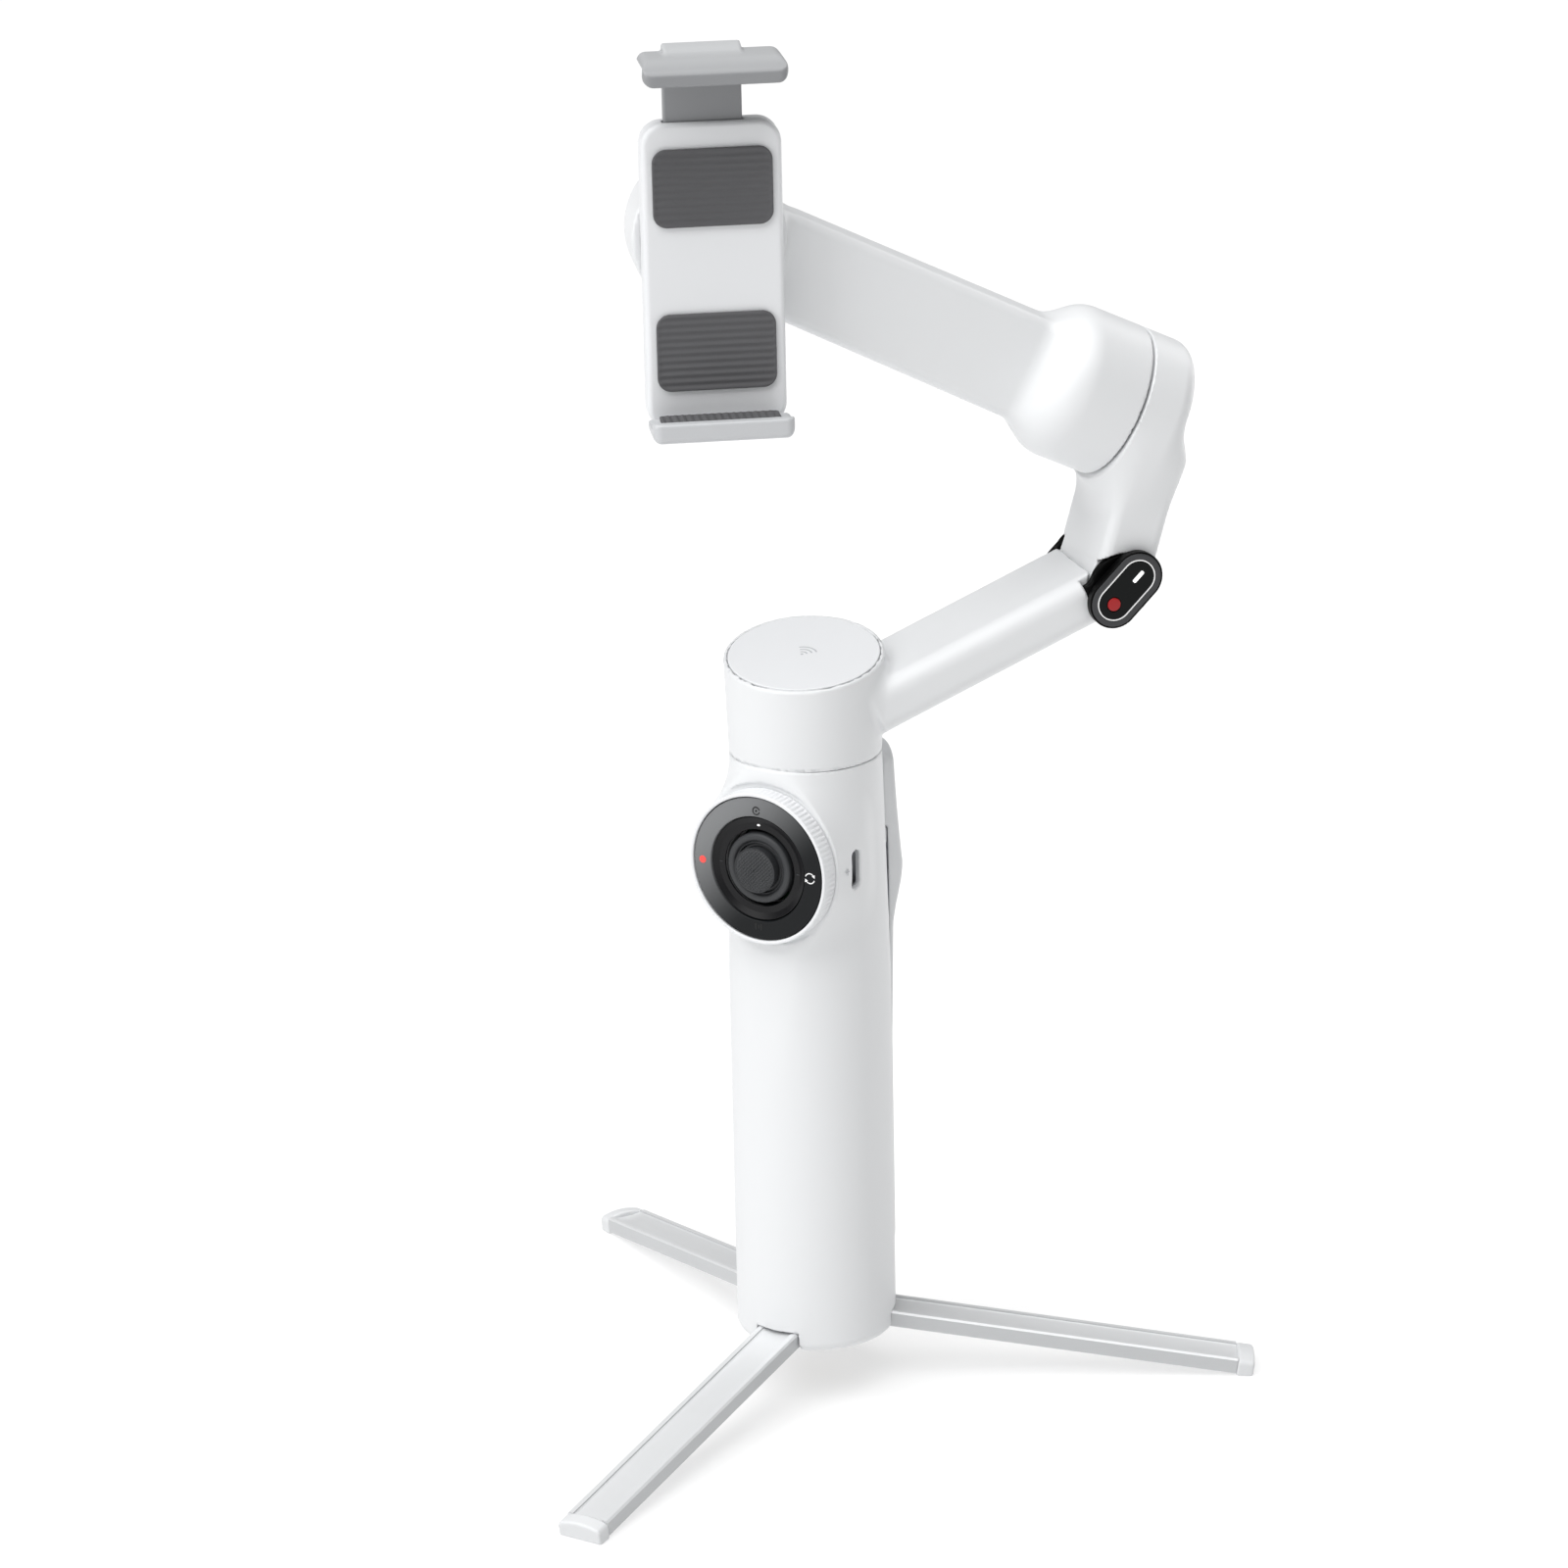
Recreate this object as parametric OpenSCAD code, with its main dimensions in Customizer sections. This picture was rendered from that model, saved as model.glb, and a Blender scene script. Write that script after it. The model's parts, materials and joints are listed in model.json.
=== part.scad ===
// Three-axis handheld stabilizer for a phone, standing on its own fold-out tripod.
// Z is up, the thumb dial faces -Y, and the origin is the mouth of the tripod thread.

/* [Handle] */
// Outer radius of the handle tube
handle_r = 17.8; // [17:0.1:19]
// Outer radius of the tube at its top edge
handle_top_r = 17.1; // [16.8:0.1:17.4]
// Height of the handle tube
handle_h = 139.4; // [138:0.2:141]
// Radius of the round boss that carries the thumb dial
boss_r = 18.3; // [17.5:0.1:19]
// Height of the thumb dial's centre
dial_z = 117.7; // [115:0.1:118]
// Distance from the handle axis to the flat seat of the dial
seat_y = 17.0; // [16.5:0.1:17.5]

/* [Thumb dial] */
// Outer radius of the fixed touch ring
touch_r = 16.5; // [16:0.1:16.6]
// Outer radius of the turning dial ring
dial_r = 17.6; // [17.3:0.1:18]
// Radius of the hole that the joystick moves in
stick_hole_r = 8.9; // [8.7:0.1:9.2]

/* [Tripod] */
// Width of one leg
leg_w = 10.5; // [9:0.1:10.6]
// Length of a metal leg from its hinge to its foot
leg_len = 85.7; // [70:0.1:95]
// Angle by which an opened leg slopes down
leg_slope = 9.13; // [7:0.01:10]
// Radius at which the legs are hinged
leg_hinge_rho = 12.3; // [12:0.1:12.5]
// Height of the leg hinges
leg_hinge_z = 3.3; // [3.2:0.1:3.4]

/* [Pan joint and arm] */
// Direction of the arm seen from above
arm_azimuth = 48; // [40:1:55]
// Distance from the handle axis to the elbow
elbow_u = 70.4; // [68:0.1:74]
// Height of the elbow
elbow_z = 173.6; // [172:0.1:175]
// Slope of the arm
arm_slope = 22.3; // [21:0.1:23]
// Width of the arm and the neck
arm_w = 27; // [26:0.1:27]
// Thickness of the arm
arm_t = 11.6; // [11:0.1:11.6]

/* [Neck and tilt motor] */
// Slope of the neck
neck_slope = 74; // [72:1:76]
// Thickness of the neck
neck_t = 13.3; // [12.5:0.1:13.3]
// Distance from the handle axis to the centre of the tilt motor
tilt_u = 73.2; // [72:0.1:74]
// Height of the centre of the tilt motor
tilt_z = 213.1; // [212:0.1:214]
// Angle of the tilt axis from the vertical
tilt_lean = 64.4; // [63:0.1:66]
// Outer radius of the tilt motor
tilt_r = 17.6; // [17.2:0.1:18]

/* [Phone clamp] */
// Direction of the phone's long edge seen from above
phone_azimuth = 39; // [35:1:42]
// Position of the clamp along the phone's long edge
clamp_u = -19; // [-20:0.5:-18]
// Height of the roll axis
roll_z = 257.4; // [256:0.1:258]
// Width of the jaws
jaw_w = 31.5; // [28:0.5:32]
// Height of the phone's lower edge
phone_z = 221; // [220:0.1:222]
// Clear height between the jaws
jaw_gap = 76.3; // [74:0.1:78]

/* [Hidden] */
$fn = 96;

bore_r = 15.6;             // inside of the handle tube
handle_floor = 129.5;      // underside of the motor deck in the handle
motor_cup_r = 14.6;        // clear radius inside each motor housing
shaft_r = 2.5;             // radius of each motor shaft
bearing_r = 6;             // outer radius of each motor bearing
seam_gap = 0.5;            // gap between the fixed and turning halves of a motor
edge_r = 2.5;              // rounding of the handle's lower edge
leg_top = 2.1;             // leg's top above its hinge line
leg_bottom = -1.7;         // leg's underside below its hinge line
foot_bottom = -2.3;        // foot's underside below the hinge line
foot_top = 2.7;            // foot's top above the hinge line
foot_len = 4;              // how far a foot covers beyond the metal leg
ground_z = -12.5;          // what the feet stand on, below the handle
leg_azimuths = [-90, 30, 150];
port_azimuth = -27;        // from +X, so the port faces a little forward
port_z = 116.8;
trigger_z = [89.3, 118.9];
trigger_w = 24;
trigger_pivot = [11, 117]; // y and z of the trigger's pin
stick_pivot = 18;          // distance of the stick's pivot from the handle axis
pivot_r = 0.3;             // radius of the stick's two pivot pins
ear_y = [11.1, 13.3];
pod_y = [13.8, 16.3];
pod_len = 19.4;
pod_w = 11.6;
pod_turn = 45;
barrel_r = 7;
barrel_half = 10.8;
cap_r = 17;
cap_z = 162;
cap_turn = 21.6;           // direction of the cap's slope, from -Y towards +X
cap_lean = 11.4;
plate_y = [-10.2, -3.2];   // back plate of the clamp, front and back
plate_z = [217.2, 284.5];
stem_u = -1.5;             // the jaw's stem, from the clamp's middle
stem_w = 17;
stem_z = [246, 299.7];
eps = 0.01;

// ---------- plane shapes and placing ----------

module rounded_rect(w, h, r) {
    square([w - 2 * r, h], center = true);
    square([w, h - 2 * r], center = true);
    for (sx = [-1, 1])
        for (sy = [-1, 1])
            translate([sx * (w / 2 - r), sy * (h / 2 - r)])
                circle(r);
}

module stadium(l, w) {
    square([l - w, w], center = true);
    for (s = [-1, 1])
        translate([s * (l - w) / 2, 0])
            circle(w / 2);
}

module tube(r_out, r_in, z0, z1) {
    translate([0, 0, z0])
        difference() {
            cylinder(r = r_out, h = z1 - z0);
            translate([0, 0, -1])
                cylinder(r = r_in, h = z1 - z0 + 2);
        }
}

module rod(r, z0, z1) {
    translate([0, 0, z0])
        cylinder(r = r, h = z1 - z0);
}

// A block between two opposite corners
module block(low, high) {
    translate(low)
        cube(high - low);
}

// Turns local +Z to -Y at the dial's centre
module dial_frame() {
    translate([0, 0, dial_z])
        rotate([90, 0, 0])
            children();
}

module leg_frame(azimuth) {
    rotate([0, 0, azimuth])
        translate([leg_hinge_rho, 0, leg_hinge_z])
            rotate([0, leg_slope, 0])
                children();
}

module arm_frame() {
    rotate([0, 0, arm_azimuth])
        children();
}

module elbow_frame() {
    arm_frame()
        translate([elbow_u, 0, elbow_z])
            children();
}

// Local +Z runs along the tilt axis, away from the neck
module tilt_frame() {
    arm_frame()
        translate([tilt_u, 0, tilt_z])
            rotate([0, -tilt_lean, 0])
                children();
}

// Local +X runs along the phone, -Y points at the user, Z stays the true height
module clamp_frame() {
    rotate([0, 0, phone_azimuth])
        translate([clamp_u, 0, 0])
            children();
}

// Local +Z runs along the roll axis towards the user
module roll_frame() {
    clamp_frame()
        translate([0, 0, roll_z])
            rotate([90, 0, 0])
                children();
}

// Local +Z is normal to the sloping cap, with z = 0 on its top face
module cap_frame() {
    translate([0, 0, cap_z])
        rotate([0, 0, cap_turn])
            rotate([cap_lean, 0, 0])
                children();
}

// A helical wire around Z, with a flat end at each side
module coil(r, wire, height, turns) {
    sides = 6;
    steps = 12 * turns;
    points = [for (i = [0 : steps]) for (k = [0 : sides - 1])
        let (a = 360 * turns * i / steps, b = 360 * k / sides, q = r + wire * cos(b) / 2)
        [q * cos(a), q * sin(a), wire / 2 + (height - wire) * i / steps + wire * sin(b) / 2]];
    walls = [for (i = [0 : steps - 1]) for (k = [0 : sides - 1])
        let (a = i * sides + k, b = i * sides + (k + 1) % sides)
        each [[a, a + sides, b + sides], [a, b + sides, b]]];
    first = [for (k = [0 : sides - 1]) k];
    last = [for (k = [0 : sides - 1]) steps * sides + sides - 1 - k];
    polyhedron(points, concat([first], walls, [last]), convexity = 6);
}

// Straight bar with the arm's section, along local +X from x0 to x1
module bar(x0, x1, w, t, r) {
    translate([x0, 0, 0])
        rotate([90, 0, 90])
            linear_extrude(x1 - x0)
                rounded_rect(w, t, r);
}

// ---------- handle ----------

module handle_outline() {
    rotate_extrude() {
        translate([handle_r - edge_r, edge_r])
            circle(edge_r);
        polygon([[0, 0], [handle_r - edge_r, 0], [handle_r - edge_r, edge_r],
            [handle_r, edge_r], [handle_r, 88], [handle_top_r, handle_h], [0, handle_h]]);
    }
}

module handle_shell() {
    notch_h = 5.4;
    color("white")
        difference() {
            union() {
                handle_outline();
                dial_frame()
                    rod(boss_r, 5, seat_y);
            }
            rod(bore_r, -1, handle_floor);
            rod(bearing_r + 0.02, handle_floor - 1, handle_h);
            rod(motor_cup_r, handle_floor + 2.5, handle_h + 1);
            dial_frame() {
                rod(stick_hole_r, 8, seat_y + 1);
                rod(boss_r, seat_y, seat_y + 3);
            }
            block([-trigger_w / 2 - 0.3, 9, 88.2], [trigger_w / 2 + 0.3, 20, 119.5]);
            translate([0, trigger_pivot[0], trigger_pivot[1]])
                rotate([0, 90, 0])
                    rod(0.82, -13.6, 13.6);
            for (a = leg_azimuths)
                rotate([0, 0, a])
                    block([10, -leg_w / 2 - 0.3, -1], [20, leg_w / 2 + 0.3, notch_h]);
            port_frame()
                rod_slot(9.1, 2.9, 9, 22);
        }
}

// The port faces outward and a little forward; its slot stands upright
module port_frame() {
    rotate([0, 0, port_azimuth])
        translate([0, 0, port_z])
            rotate([0, 90, 0])
                children();
}

module rod_slot(l, w, z0, z1) {
    translate([0, 0, z0])
        linear_extrude(z1 - z0)
            stadium(l, w);
}

// The strip swells towards the top, where the index finger rests
module strip_body() {
    inner = handle_r + 0.05;
    rotate_extrude()
        polygon([[inner, 15], [19.7, 15], [19.7, 70], [20.5, 98], [22, 104], [22.9, 110],
            [22.4, 115], [21.8, 121], [21.4, 130], [20.9, 138.5], [inner, 138.5]]);
}

module grip_strip() {
    color("gainsboro")
        difference() {
            intersection() {
                strip_body();
                rotate([0, 0, 90])
                    linear_extrude(200)
                        polygon([[0, 0], [30, -26], [30, 26]]);
            }
            block([-12.5, 9, 88.4], [12.5, 30, 119.8]);
        }
}

module pan_stator() {
    color("goldenrod")
        tube(13.8, 5, 132.4, 138.6);
}

module pan_bearing() {
    color("silver")
        tube(bearing_r, shaft_r + 0.03, 129.6, 131.9);
}

module battery_cell() {
    color("steelblue")
        translate([0, 2.5, 0]) {
            rod(9.15, 80.5, 114.6);
            rod(2.8, 114.6, 115.4);
        }
}

module main_board() {
    color("darkgreen")
        block([-12, -8.8, 80], [12, -7.2, 128]);
}

module usb_port() {
    color("silver")
        port_frame()
            difference() {
                rod_slot(9, 2.8, 14.4, 18.6);
                rod_slot(8.3, 2.1, 15.2, 19);
            }
}

// ---------- thumb controls ----------

module touch_ring() {
    color("black")
        dial_frame()
            difference() {
                tube(touch_r, stick_hole_r, seat_y + 0.02, 21.5);
                tube(11, stick_hole_r - 1, 20.2, 22);
            }
}

module ring_insert() {
    color("dimgray")
        dial_frame()
            tube(10.95, stick_hole_r + 0.05, 20.22, 20.9);
}

module dial_ring() {
    color("white")
        dial_frame()
            tube(dial_r, touch_r + 0.25, seat_y + 0.3, 21.7);
}

// The stick's base, with two posts that hold the outer pivot
module stick_module() {
    color("black")
        dial_frame()
            difference() {
                union() {
                    translate([0, 0, 9])
                        linear_extrude(6.4)
                            rounded_rect(13, 13, 2);
                    for (s = [-1, 1])
                        translate([s * 4.7, 0, 0])
                            block([-0.5, -1, 15], [0.5, 1, stick_pivot + 0.5]);
                }
                stick_pin(0, pivot_r + 0.02, 6);
            }
}

// A pin through the stick's pivot; its direction is seen from the dial's front
module stick_pin(angle, r, half_len) {
    translate([0, 0, stick_pivot])
        rotate([0, 0, angle])
            rotate([0, 90, 0])
                rod(r, -half_len, half_len);
}

module stick_spring() {
    color("silver")
        dial_frame()
            translate([0, 0, 15.45])
                coil(6, 0.4, 1.5, 2);
}

// Ring that lets the stick lean in two directions
module stick_cross() {
    ring_r = 3.6;
    hole_r = 2.35;
    color("dimgray")
        dial_frame()
            difference() {
                union() {
                    tube(ring_r, hole_r, stick_pivot - 0.6, stick_pivot + 0.4);
                    difference() {
                        stick_pin(0, pivot_r, 4.9);
                        rod(hole_r + 0.5, 10, 20);
                    }
                }
                stick_pin(90, pivot_r + 0.02, 5);
            }
}

module stick_cap() {
    color("black")
        dial_frame() {
            difference() {
                rod(8.1, 19, 21.2);
                rod(7, 18.5, 20.2);
            }
            rod(5.8, 21.2, 23.2);
            rod(1.4, 16.2, 20.5);
            stick_pin(90, pivot_r, 3.3);
        }
}

module trigger() {
    color("white")
        difference() {
            union() {
                intersection() {
                    block([-trigger_w / 2, 16.8, trigger_z[0]], [trigger_w / 2, 25, trigger_z[1]]);
                    rotate_extrude()
                        polygon([[0, 89], [20.2, 89], [20.6, 98], [22.6, 103], [24, 109],
                            [23.7, 114], [22.6, 119], [0, 119]]);
                }
                intersection() {
                    rod(19.3, 110, 120);
                    for (s = [-1, 1])
                        block([s * 10.8 - 1.2, 9.2, 114.6], [s * 10.8 + 1.2, 17, trigger_z[1]]);
                }
            }
            translate([0, trigger_pivot[0], trigger_pivot[1]])
                rotate([0, 90, 0])
                    rod(0.86, -20, 20);
        }
}

module trigger_pin() {
    color("silver")
        translate([0, trigger_pivot[0], trigger_pivot[1]])
            rotate([0, 90, 0])
                rod(0.8, -13.5, 13.5);
}

module trigger_spring() {
    color("silver")
        translate([5.4, trigger_pivot[0], trigger_pivot[1]])
            rotate([0, 90, 0])
                coil(1.35, 0.4, 3.8, 5);
}

module trigger_switch() {
    color("black") {
        block([-2.4, 11.9, 91], [2.4, 13, 96]);
        block([-1, 13, 92.5], [1, 13.4, 94.5]);
    }
}

// ---------- extension rod and tripod ----------

module rod_sleeve() {
    color("silver") {
        tube(7.6, 6.6, 10, 75);
        tube(15.4, 6.6, 74, 77);
    }
}

module rod_tube() {
    color("silver")
        tube(6.52, 5.7, 9, 72);
}

module rod_core() {
    color("silver")
        tube(5.62, 4.8, 7.65, 70);
}

module tripod_hub() {
    color("dimgray")
        difference() {
            rod(15.2, 0, 7.6);
            rod(4.52, -1, 6.5);
            for (a = leg_azimuths) {
                rotate([0, 0, a])
                    block([9.1, -leg_w / 2 - 0.2, -1], [20, leg_w / 2 + 0.2, 9]);
                leg_pin(a, 1.02);
            }
        }
}

module leg_pin(azimuth, r) {
    rotate([0, 0, azimuth])
        translate([leg_hinge_rho, 0, leg_hinge_z])
            rotate([90, 0, 0])
                rod(r, -7.25, 7.25);
}

module leg_pins() {
    color("silver")
        for (a = leg_azimuths)
            leg_pin(a, 1);
}

module thread_insert() {
    color("gold")
        tube(4.5, 2.6, 0, 6.4);
}

// Leg section: square rails with a shallow hollow between them
module leg_section() {
    hollow_w = 6.8;
    hollow_depth = 0.7;
    hollow_r = (pow(hollow_w / 2, 2) + pow(hollow_depth, 2)) / (2 * hollow_depth);
    difference() {
        translate([-leg_w / 2, leg_bottom])
            square([leg_w, leg_top - leg_bottom]);
        translate([0, leg_top - hollow_depth + hollow_r])
            circle(hollow_r);
    }
}

module leg(azimuth) {
    leg_frame(azimuth)
        difference() {
            translate([-leg_top, 0, 0])
                rotate([90, 0, 90])
                    linear_extrude(leg_len + leg_top)
                        leg_section();
            block([6, -3.6, -3], [leg_len - 6, 3.6, 0.4]);
            rotate([90, 0, 0])
                rod(1.05, -10, 10);
        }
}

module foot(azimuth) {
    difference() {
        leg_frame(azimuth)
            translate([leg_len + 0.02, 0, 0])
                rotate([90, 0, 90])
                    linear_extrude(foot_len)
                        translate([0, (foot_top + foot_bottom) / 2])
                            rounded_rect(leg_w + 0.5, foot_top - foot_bottom, 1.2);
        block([-200, -200, ground_z - 20], [200, 200, ground_z]);
    }
}

module leg_front() {
    color("silver")
        leg(leg_azimuths[0]);
}

module foot_front() {
    color("white")
        foot(leg_azimuths[0]);
}

module leg_right() {
    color("silver")
        leg(leg_azimuths[1]);
}

module foot_right() {
    color("white")
        foot(leg_azimuths[1]);
}

module leg_left() {
    color("silver")
        leg(leg_azimuths[2]);
}

module foot_left() {
    color("white")
        foot(leg_azimuths[2]);
}

// ---------- pan housing and arm ----------

// Everything above the sloping top face
module above_cap() {
    cap_frame()
        rod(60, 0, 60);
}

module pan_housing() {
    color("white")
        difference() {
            union() {
                difference() {
                    translate([0, 0, handle_h + seam_gap])
                        cylinder(r1 = handle_top_r, r2 = 18.2, h = 28);
                    above_cap();
                }
                elbow_frame()
                    rotate([0, -arm_slope, 0])
                        bar(-62, -2, arm_w, arm_t, 4);
            }
            rod(motor_cup_r, 130, 155.5);
            cap_frame()
                rod(cap_r + 0.2, -2.2, 0.5);
            difference() {
                rod(motor_cup_r, 150, 190);
                cap_frame()
                    rod(60, -3, 60);
            }
            difference() {
                rod(18.1, 157, 190);
                cap_frame()
                    translate([0, 0, -60])
                        cylinder(r = 60, h = 60.001);
            }
            elbow_frame()
                rotate([0, -arm_slope, 0])
                    arm_cuts();
        }
}

// The elbow's clearance, the cable channel and the pockets of the ears
module arm_cuts() {
    rotate([90, 0, 0])
        rod(7.4, -20, 20);
    block([-8, -20, -10], [5, 20, 0]);
    for (s = [-1, 1])
        translate([0, s * 15.5, 0])
            block([-8, -4.5, -10], [5, 4.5, 10]);
    block([-50, -9, -3], [-3, 9, 3]);
    for (s = [-1, 1])
        translate([0, s * 12.2, 0])
            block([-12.1, -0.95, -3.05], [-7, 0.95, 3.05]);
}

module pan_cap() {
    color("whitesmoke")
        cap_frame()
            rod(cap_r, -2, 0);
}

module pan_rotor() {
    color("dimgray")
        difference() {
            rod(14, 140.7, 147);
            rod(12.4, 140, 145);
            rod(shaft_r + 0.02, 139, 150);
        }
}

module pan_shaft() {
    color("silver")
        rod(shaft_r, 128.6, 152);
}

module arm_ribbon_cable() {
    color("orange")
        elbow_frame()
            rotate([0, -arm_slope, 0])
                block([-48, -6, -0.2], [-10, 6, 0.2]);
}

module elbow_ears() {
    color("black")
        elbow_frame()
            for (s = [-1, 1])
                translate([0, s * 12.2, 0])
                    difference() {
                        union() {
                            rotate([90, 0, 0])
                                rod(7.3, -1.1, 1.1);
                            rotate([0, -arm_slope, 0]) {
                                block([-7.95, -1.1, -4], [0, 1.1, 4]);
                                block([-12, -0.9, -3], [-7, 0.9, 3]);
                            }
                        }
                        rotate([90, 0, 0])
                            rod(2.02, -5, 5);
                    }
}

module elbow_pin() {
    color("silver")
        elbow_frame()
            rotate([90, 0, 0])
                rod(2, -13.3, 13.3);
}

// Local XY is the pod's face, with +X along its length and +Z away from the arm
module pod_frame(side) {
    elbow_frame()
        rotate([side < 0 ? 90 : -90, 0, 0])
            rotate([0, 0, -side * pod_turn])
                children();
}

module pod_front() {
    color("black")
        pod_frame(-1)
            difference() {
                union() {
                    rod_slot(pod_len, pod_w, pod_y[0], pod_y[1]);
                    rod(5.4, ear_y[1] + 0.02, pod_y[0] + eps);
                }
                rod_slot(pod_len - 2.4, pod_w - 2.4, pod_y[1] - 1.2, pod_y[1] + 1);
            }
}

module pod_face() {
    color("black")
        pod_frame(-1)
            difference() {
                rod_slot(pod_len - 2.5, pod_w - 2.5, pod_y[1] - 1.15, pod_y[1] - 0.1);
                translate([-4.2, 0, 0])
                    rod(1.6, 10, 20);
                translate([4, 0, 0])
                    rod_slot(3.5, 0.95, 10, 20);
            }
}

module pod_back() {
    color("black")
        pod_frame(1) {
            rod_slot(pod_len, pod_w, pod_y[0], pod_y[1]);
            rod(5.4, ear_y[1] + 0.02, pod_y[0] + eps);
        }
}

module pod_light() {
    color("white")
        pod_frame(-1)
            translate([4, 0, 0])
                rod_slot(3.4, 0.85, pod_y[1] - 1.15, pod_y[1] - 0.05);
}

module record_button() {
    color("red")
        pod_frame(-1)
            translate([-4.2, 0, 0])
                rod(1.5, pod_y[1] - 0.6, pod_y[1] + 0.15);
}

// ---------- neck and tilt motor ----------

module tilt_back_outline() {
    rotate_extrude()
        union() {
            translate([tilt_r - 4, -8])
                circle(4);
            polygon([[0, 0], [0, -12], [tilt_r - 4, -12], [tilt_r - 4, -8], [tilt_r, -8],
                [tilt_r, 0]]);
        }
}

module neck_shell() {
    color("white")
        difference() {
            union() {
                elbow_frame()
                    rotate([90, 0, 0])
                        rod(barrel_r, -barrel_half, barrel_half);
                difference() {
                    elbow_frame()
                        rotate([0, -neck_slope, 0])
                            bar(0, 40, arm_w, neck_t, 2.5);
                    tilt_frame()
                        rod(60, 0, 60);
                    for (s = [-1, 1])
                        elbow_frame()
                            rotate([90, 0, 0])
                                translate([0, 0, s * (barrel_half + 5)])
                                    rod(7.7, -5, 5);
                }
                tilt_frame()
                    tilt_back_outline();
            }
            elbow_frame()
                rotate([90, 0, 0])
                    rod(2.05, -20, 20);
            tilt_frame() {
                rod(motor_cup_r, -6.4, 1);
                rod(bearing_r + 0.02, -9.2, 0);
            }
        }
}

module tilt_stator() {
    color("goldenrod")
        tilt_frame()
            tube(13.8, 6.5, -6.2, -0.4);
}

module tilt_bearing() {
    color("silver")
        tilt_frame()
            tube(bearing_r, shaft_r + 0.03, -9.1, -6.8);
}

module tilt_shaft() {
    color("silver")
        tilt_frame()
            rod(shaft_r, -9, 9.4);
}

module tilt_rotor() {
    color("dimgray")
        tilt_frame()
            difference() {
                rod(14, 0.7, 7);
                rod(12.4, 0, 5);
                rod(shaft_r + 0.02, 0, 9);
            }
}

module tilt_cover_outline() {
    round_r = 8;
    flat_r = tilt_r - round_r;
    rotate_extrude()
        union() {
            intersection() {
                translate([flat_r, 12.5])
                    circle(round_r);
                square([40, 40]);
            }
            polygon([[0, seam_gap], [tilt_r, seam_gap], [tilt_r, 12.5], [flat_r, 12.5],
                [flat_r, 12.5 + round_r], [0, 12.5 + round_r]]);
        }
}

// Round end of the bar behind the phone, from the centre of its rear face
module bar_end(centre, r) {
    translate(centre)
        rotate([90, 0, 0])
            cylinder(r = r, h = 11.5, $fn = 32);
}

// Bar that carries the roll motor behind the phone
module rear_arm() {
    clamp_frame()
        hull() {
            bar_end([74.6, 15.4, 220.7], 12);
            bar_end([20.6, 12.4, roll_z - 10], 11.5);
            bar_end([16, 12, roll_z - 7.5], 11.5);
        }
}

module tilt_cover() {
    color("white")
        difference() {
            union() {
                tilt_frame()
                    tilt_cover_outline();
                rear_arm();
                roll_frame()
                    rod(17, -15.5, 2.6);
            }
            tilt_frame()
                rod(motor_cup_r, 0, 9.5);
            roll_frame() {
                rod(motor_cup_r, -10.5, 5);
                rod(bearing_r + 0.02, -13.2, 0);
            }
        }
}

module roll_stator() {
    color("goldenrod")
        roll_frame()
            tube(13.8, 6.5, -10.3, -4.2);
}

module roll_bearing() {
    color("silver")
        roll_frame()
            tube(bearing_r, shaft_r + 0.03, -13.1, -10.8);
}

// ---------- phone clamp ----------

module roll_rotor() {
    color("dimgray")
        roll_frame()
            difference() {
                union() {
                    rod(14, -3.6, 1.9);
                    rod(8, 1.9, 3.18);
                }
                rod(12.4, -4, -1);
                rod(shaft_r + 0.02, -5, 5);
            }
}

module roll_shaft() {
    color("silver")
        roll_frame()
            rod(shaft_r, -13, 3.15);
}

// A block in clamp_frame with rounded corners seen from the front
module front_plate(w, z, y, r) {
    translate([0, y[1], (z[0] + z[1]) / 2])
        rotate([90, 0, 0])
            linear_extrude(y[1] - y[0])
                rounded_rect(w, z[1] - z[0], r);
}

module clamp_body() {
    color("white")
        clamp_frame()
            difference() {
                front_plate(30.4, plate_z, plate_y, 5);
                block([stem_u - stem_w / 2 - 0.2, -8.75, 223.3], [stem_u + stem_w / 2 + 0.2, -5.25, 300]);
            }
}

module clamp_pads() {
    color("dimgray")
        clamp_frame()
            for (z = [226, 262])
                front_plate(26, [z, z + 17], [-11.2, -10.22], 3);
}

// Bar seen from above with rounded front corners
module jaw_bar(y, z) {
    translate([0, (y[0] + y[1]) / 2, z[0]])
        linear_extrude(z[1] - z[0])
            rounded_rect(jaw_w, y[1] - y[0], 2.4);
}

module lower_jaw() {
    color("lightgray")
        clamp_frame() {
            jaw_bar([-22.3, -10.3], [217.2, phone_z - 0.9]);
            intersection() {
                jaw_bar([-22.3, -10.3], [217.2, phone_z + 0.6]);
                block([-40, -22.5, 215], [40, -19.8, 225]);
            }
        }
}

module lower_jaw_pad() {
    color("dimgray")
        clamp_frame()
            block([-13, -19.5, phone_z - 0.88], [13, -11.4, phone_z]);
}

module jaw_springs() {
    color("silver")
        clamp_frame()
            for (s = [-1, 1])
                translate([stem_u + s * 4.5, -7, 223.4])
                    coil(1.3, 0.45, 22.5, 7);
}

module upper_jaw() {
    jaw_z = phone_z + jaw_gap;
    color("lightgray")
        clamp_frame() {
            jaw_bar([-22.3, -6.5], [jaw_z + 0.82, stem_z[1]]);
            intersection() {
                jaw_bar([-22.3, -6.5], [jaw_z - 2.8, stem_z[1]]);
                block([-40, -22.5, 280], [40, -19.8, 310]);
            }
            block([stem_u - stem_w / 2, -8.5, stem_z[0]], [stem_u + stem_w / 2, -5.5, stem_z[1]]);
            block([stem_u - stem_w / 2, -12, stem_z[1] - 1], [stem_u + stem_w / 2, -6.5, stem_z[1] + 1.8]);
        }
}

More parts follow.
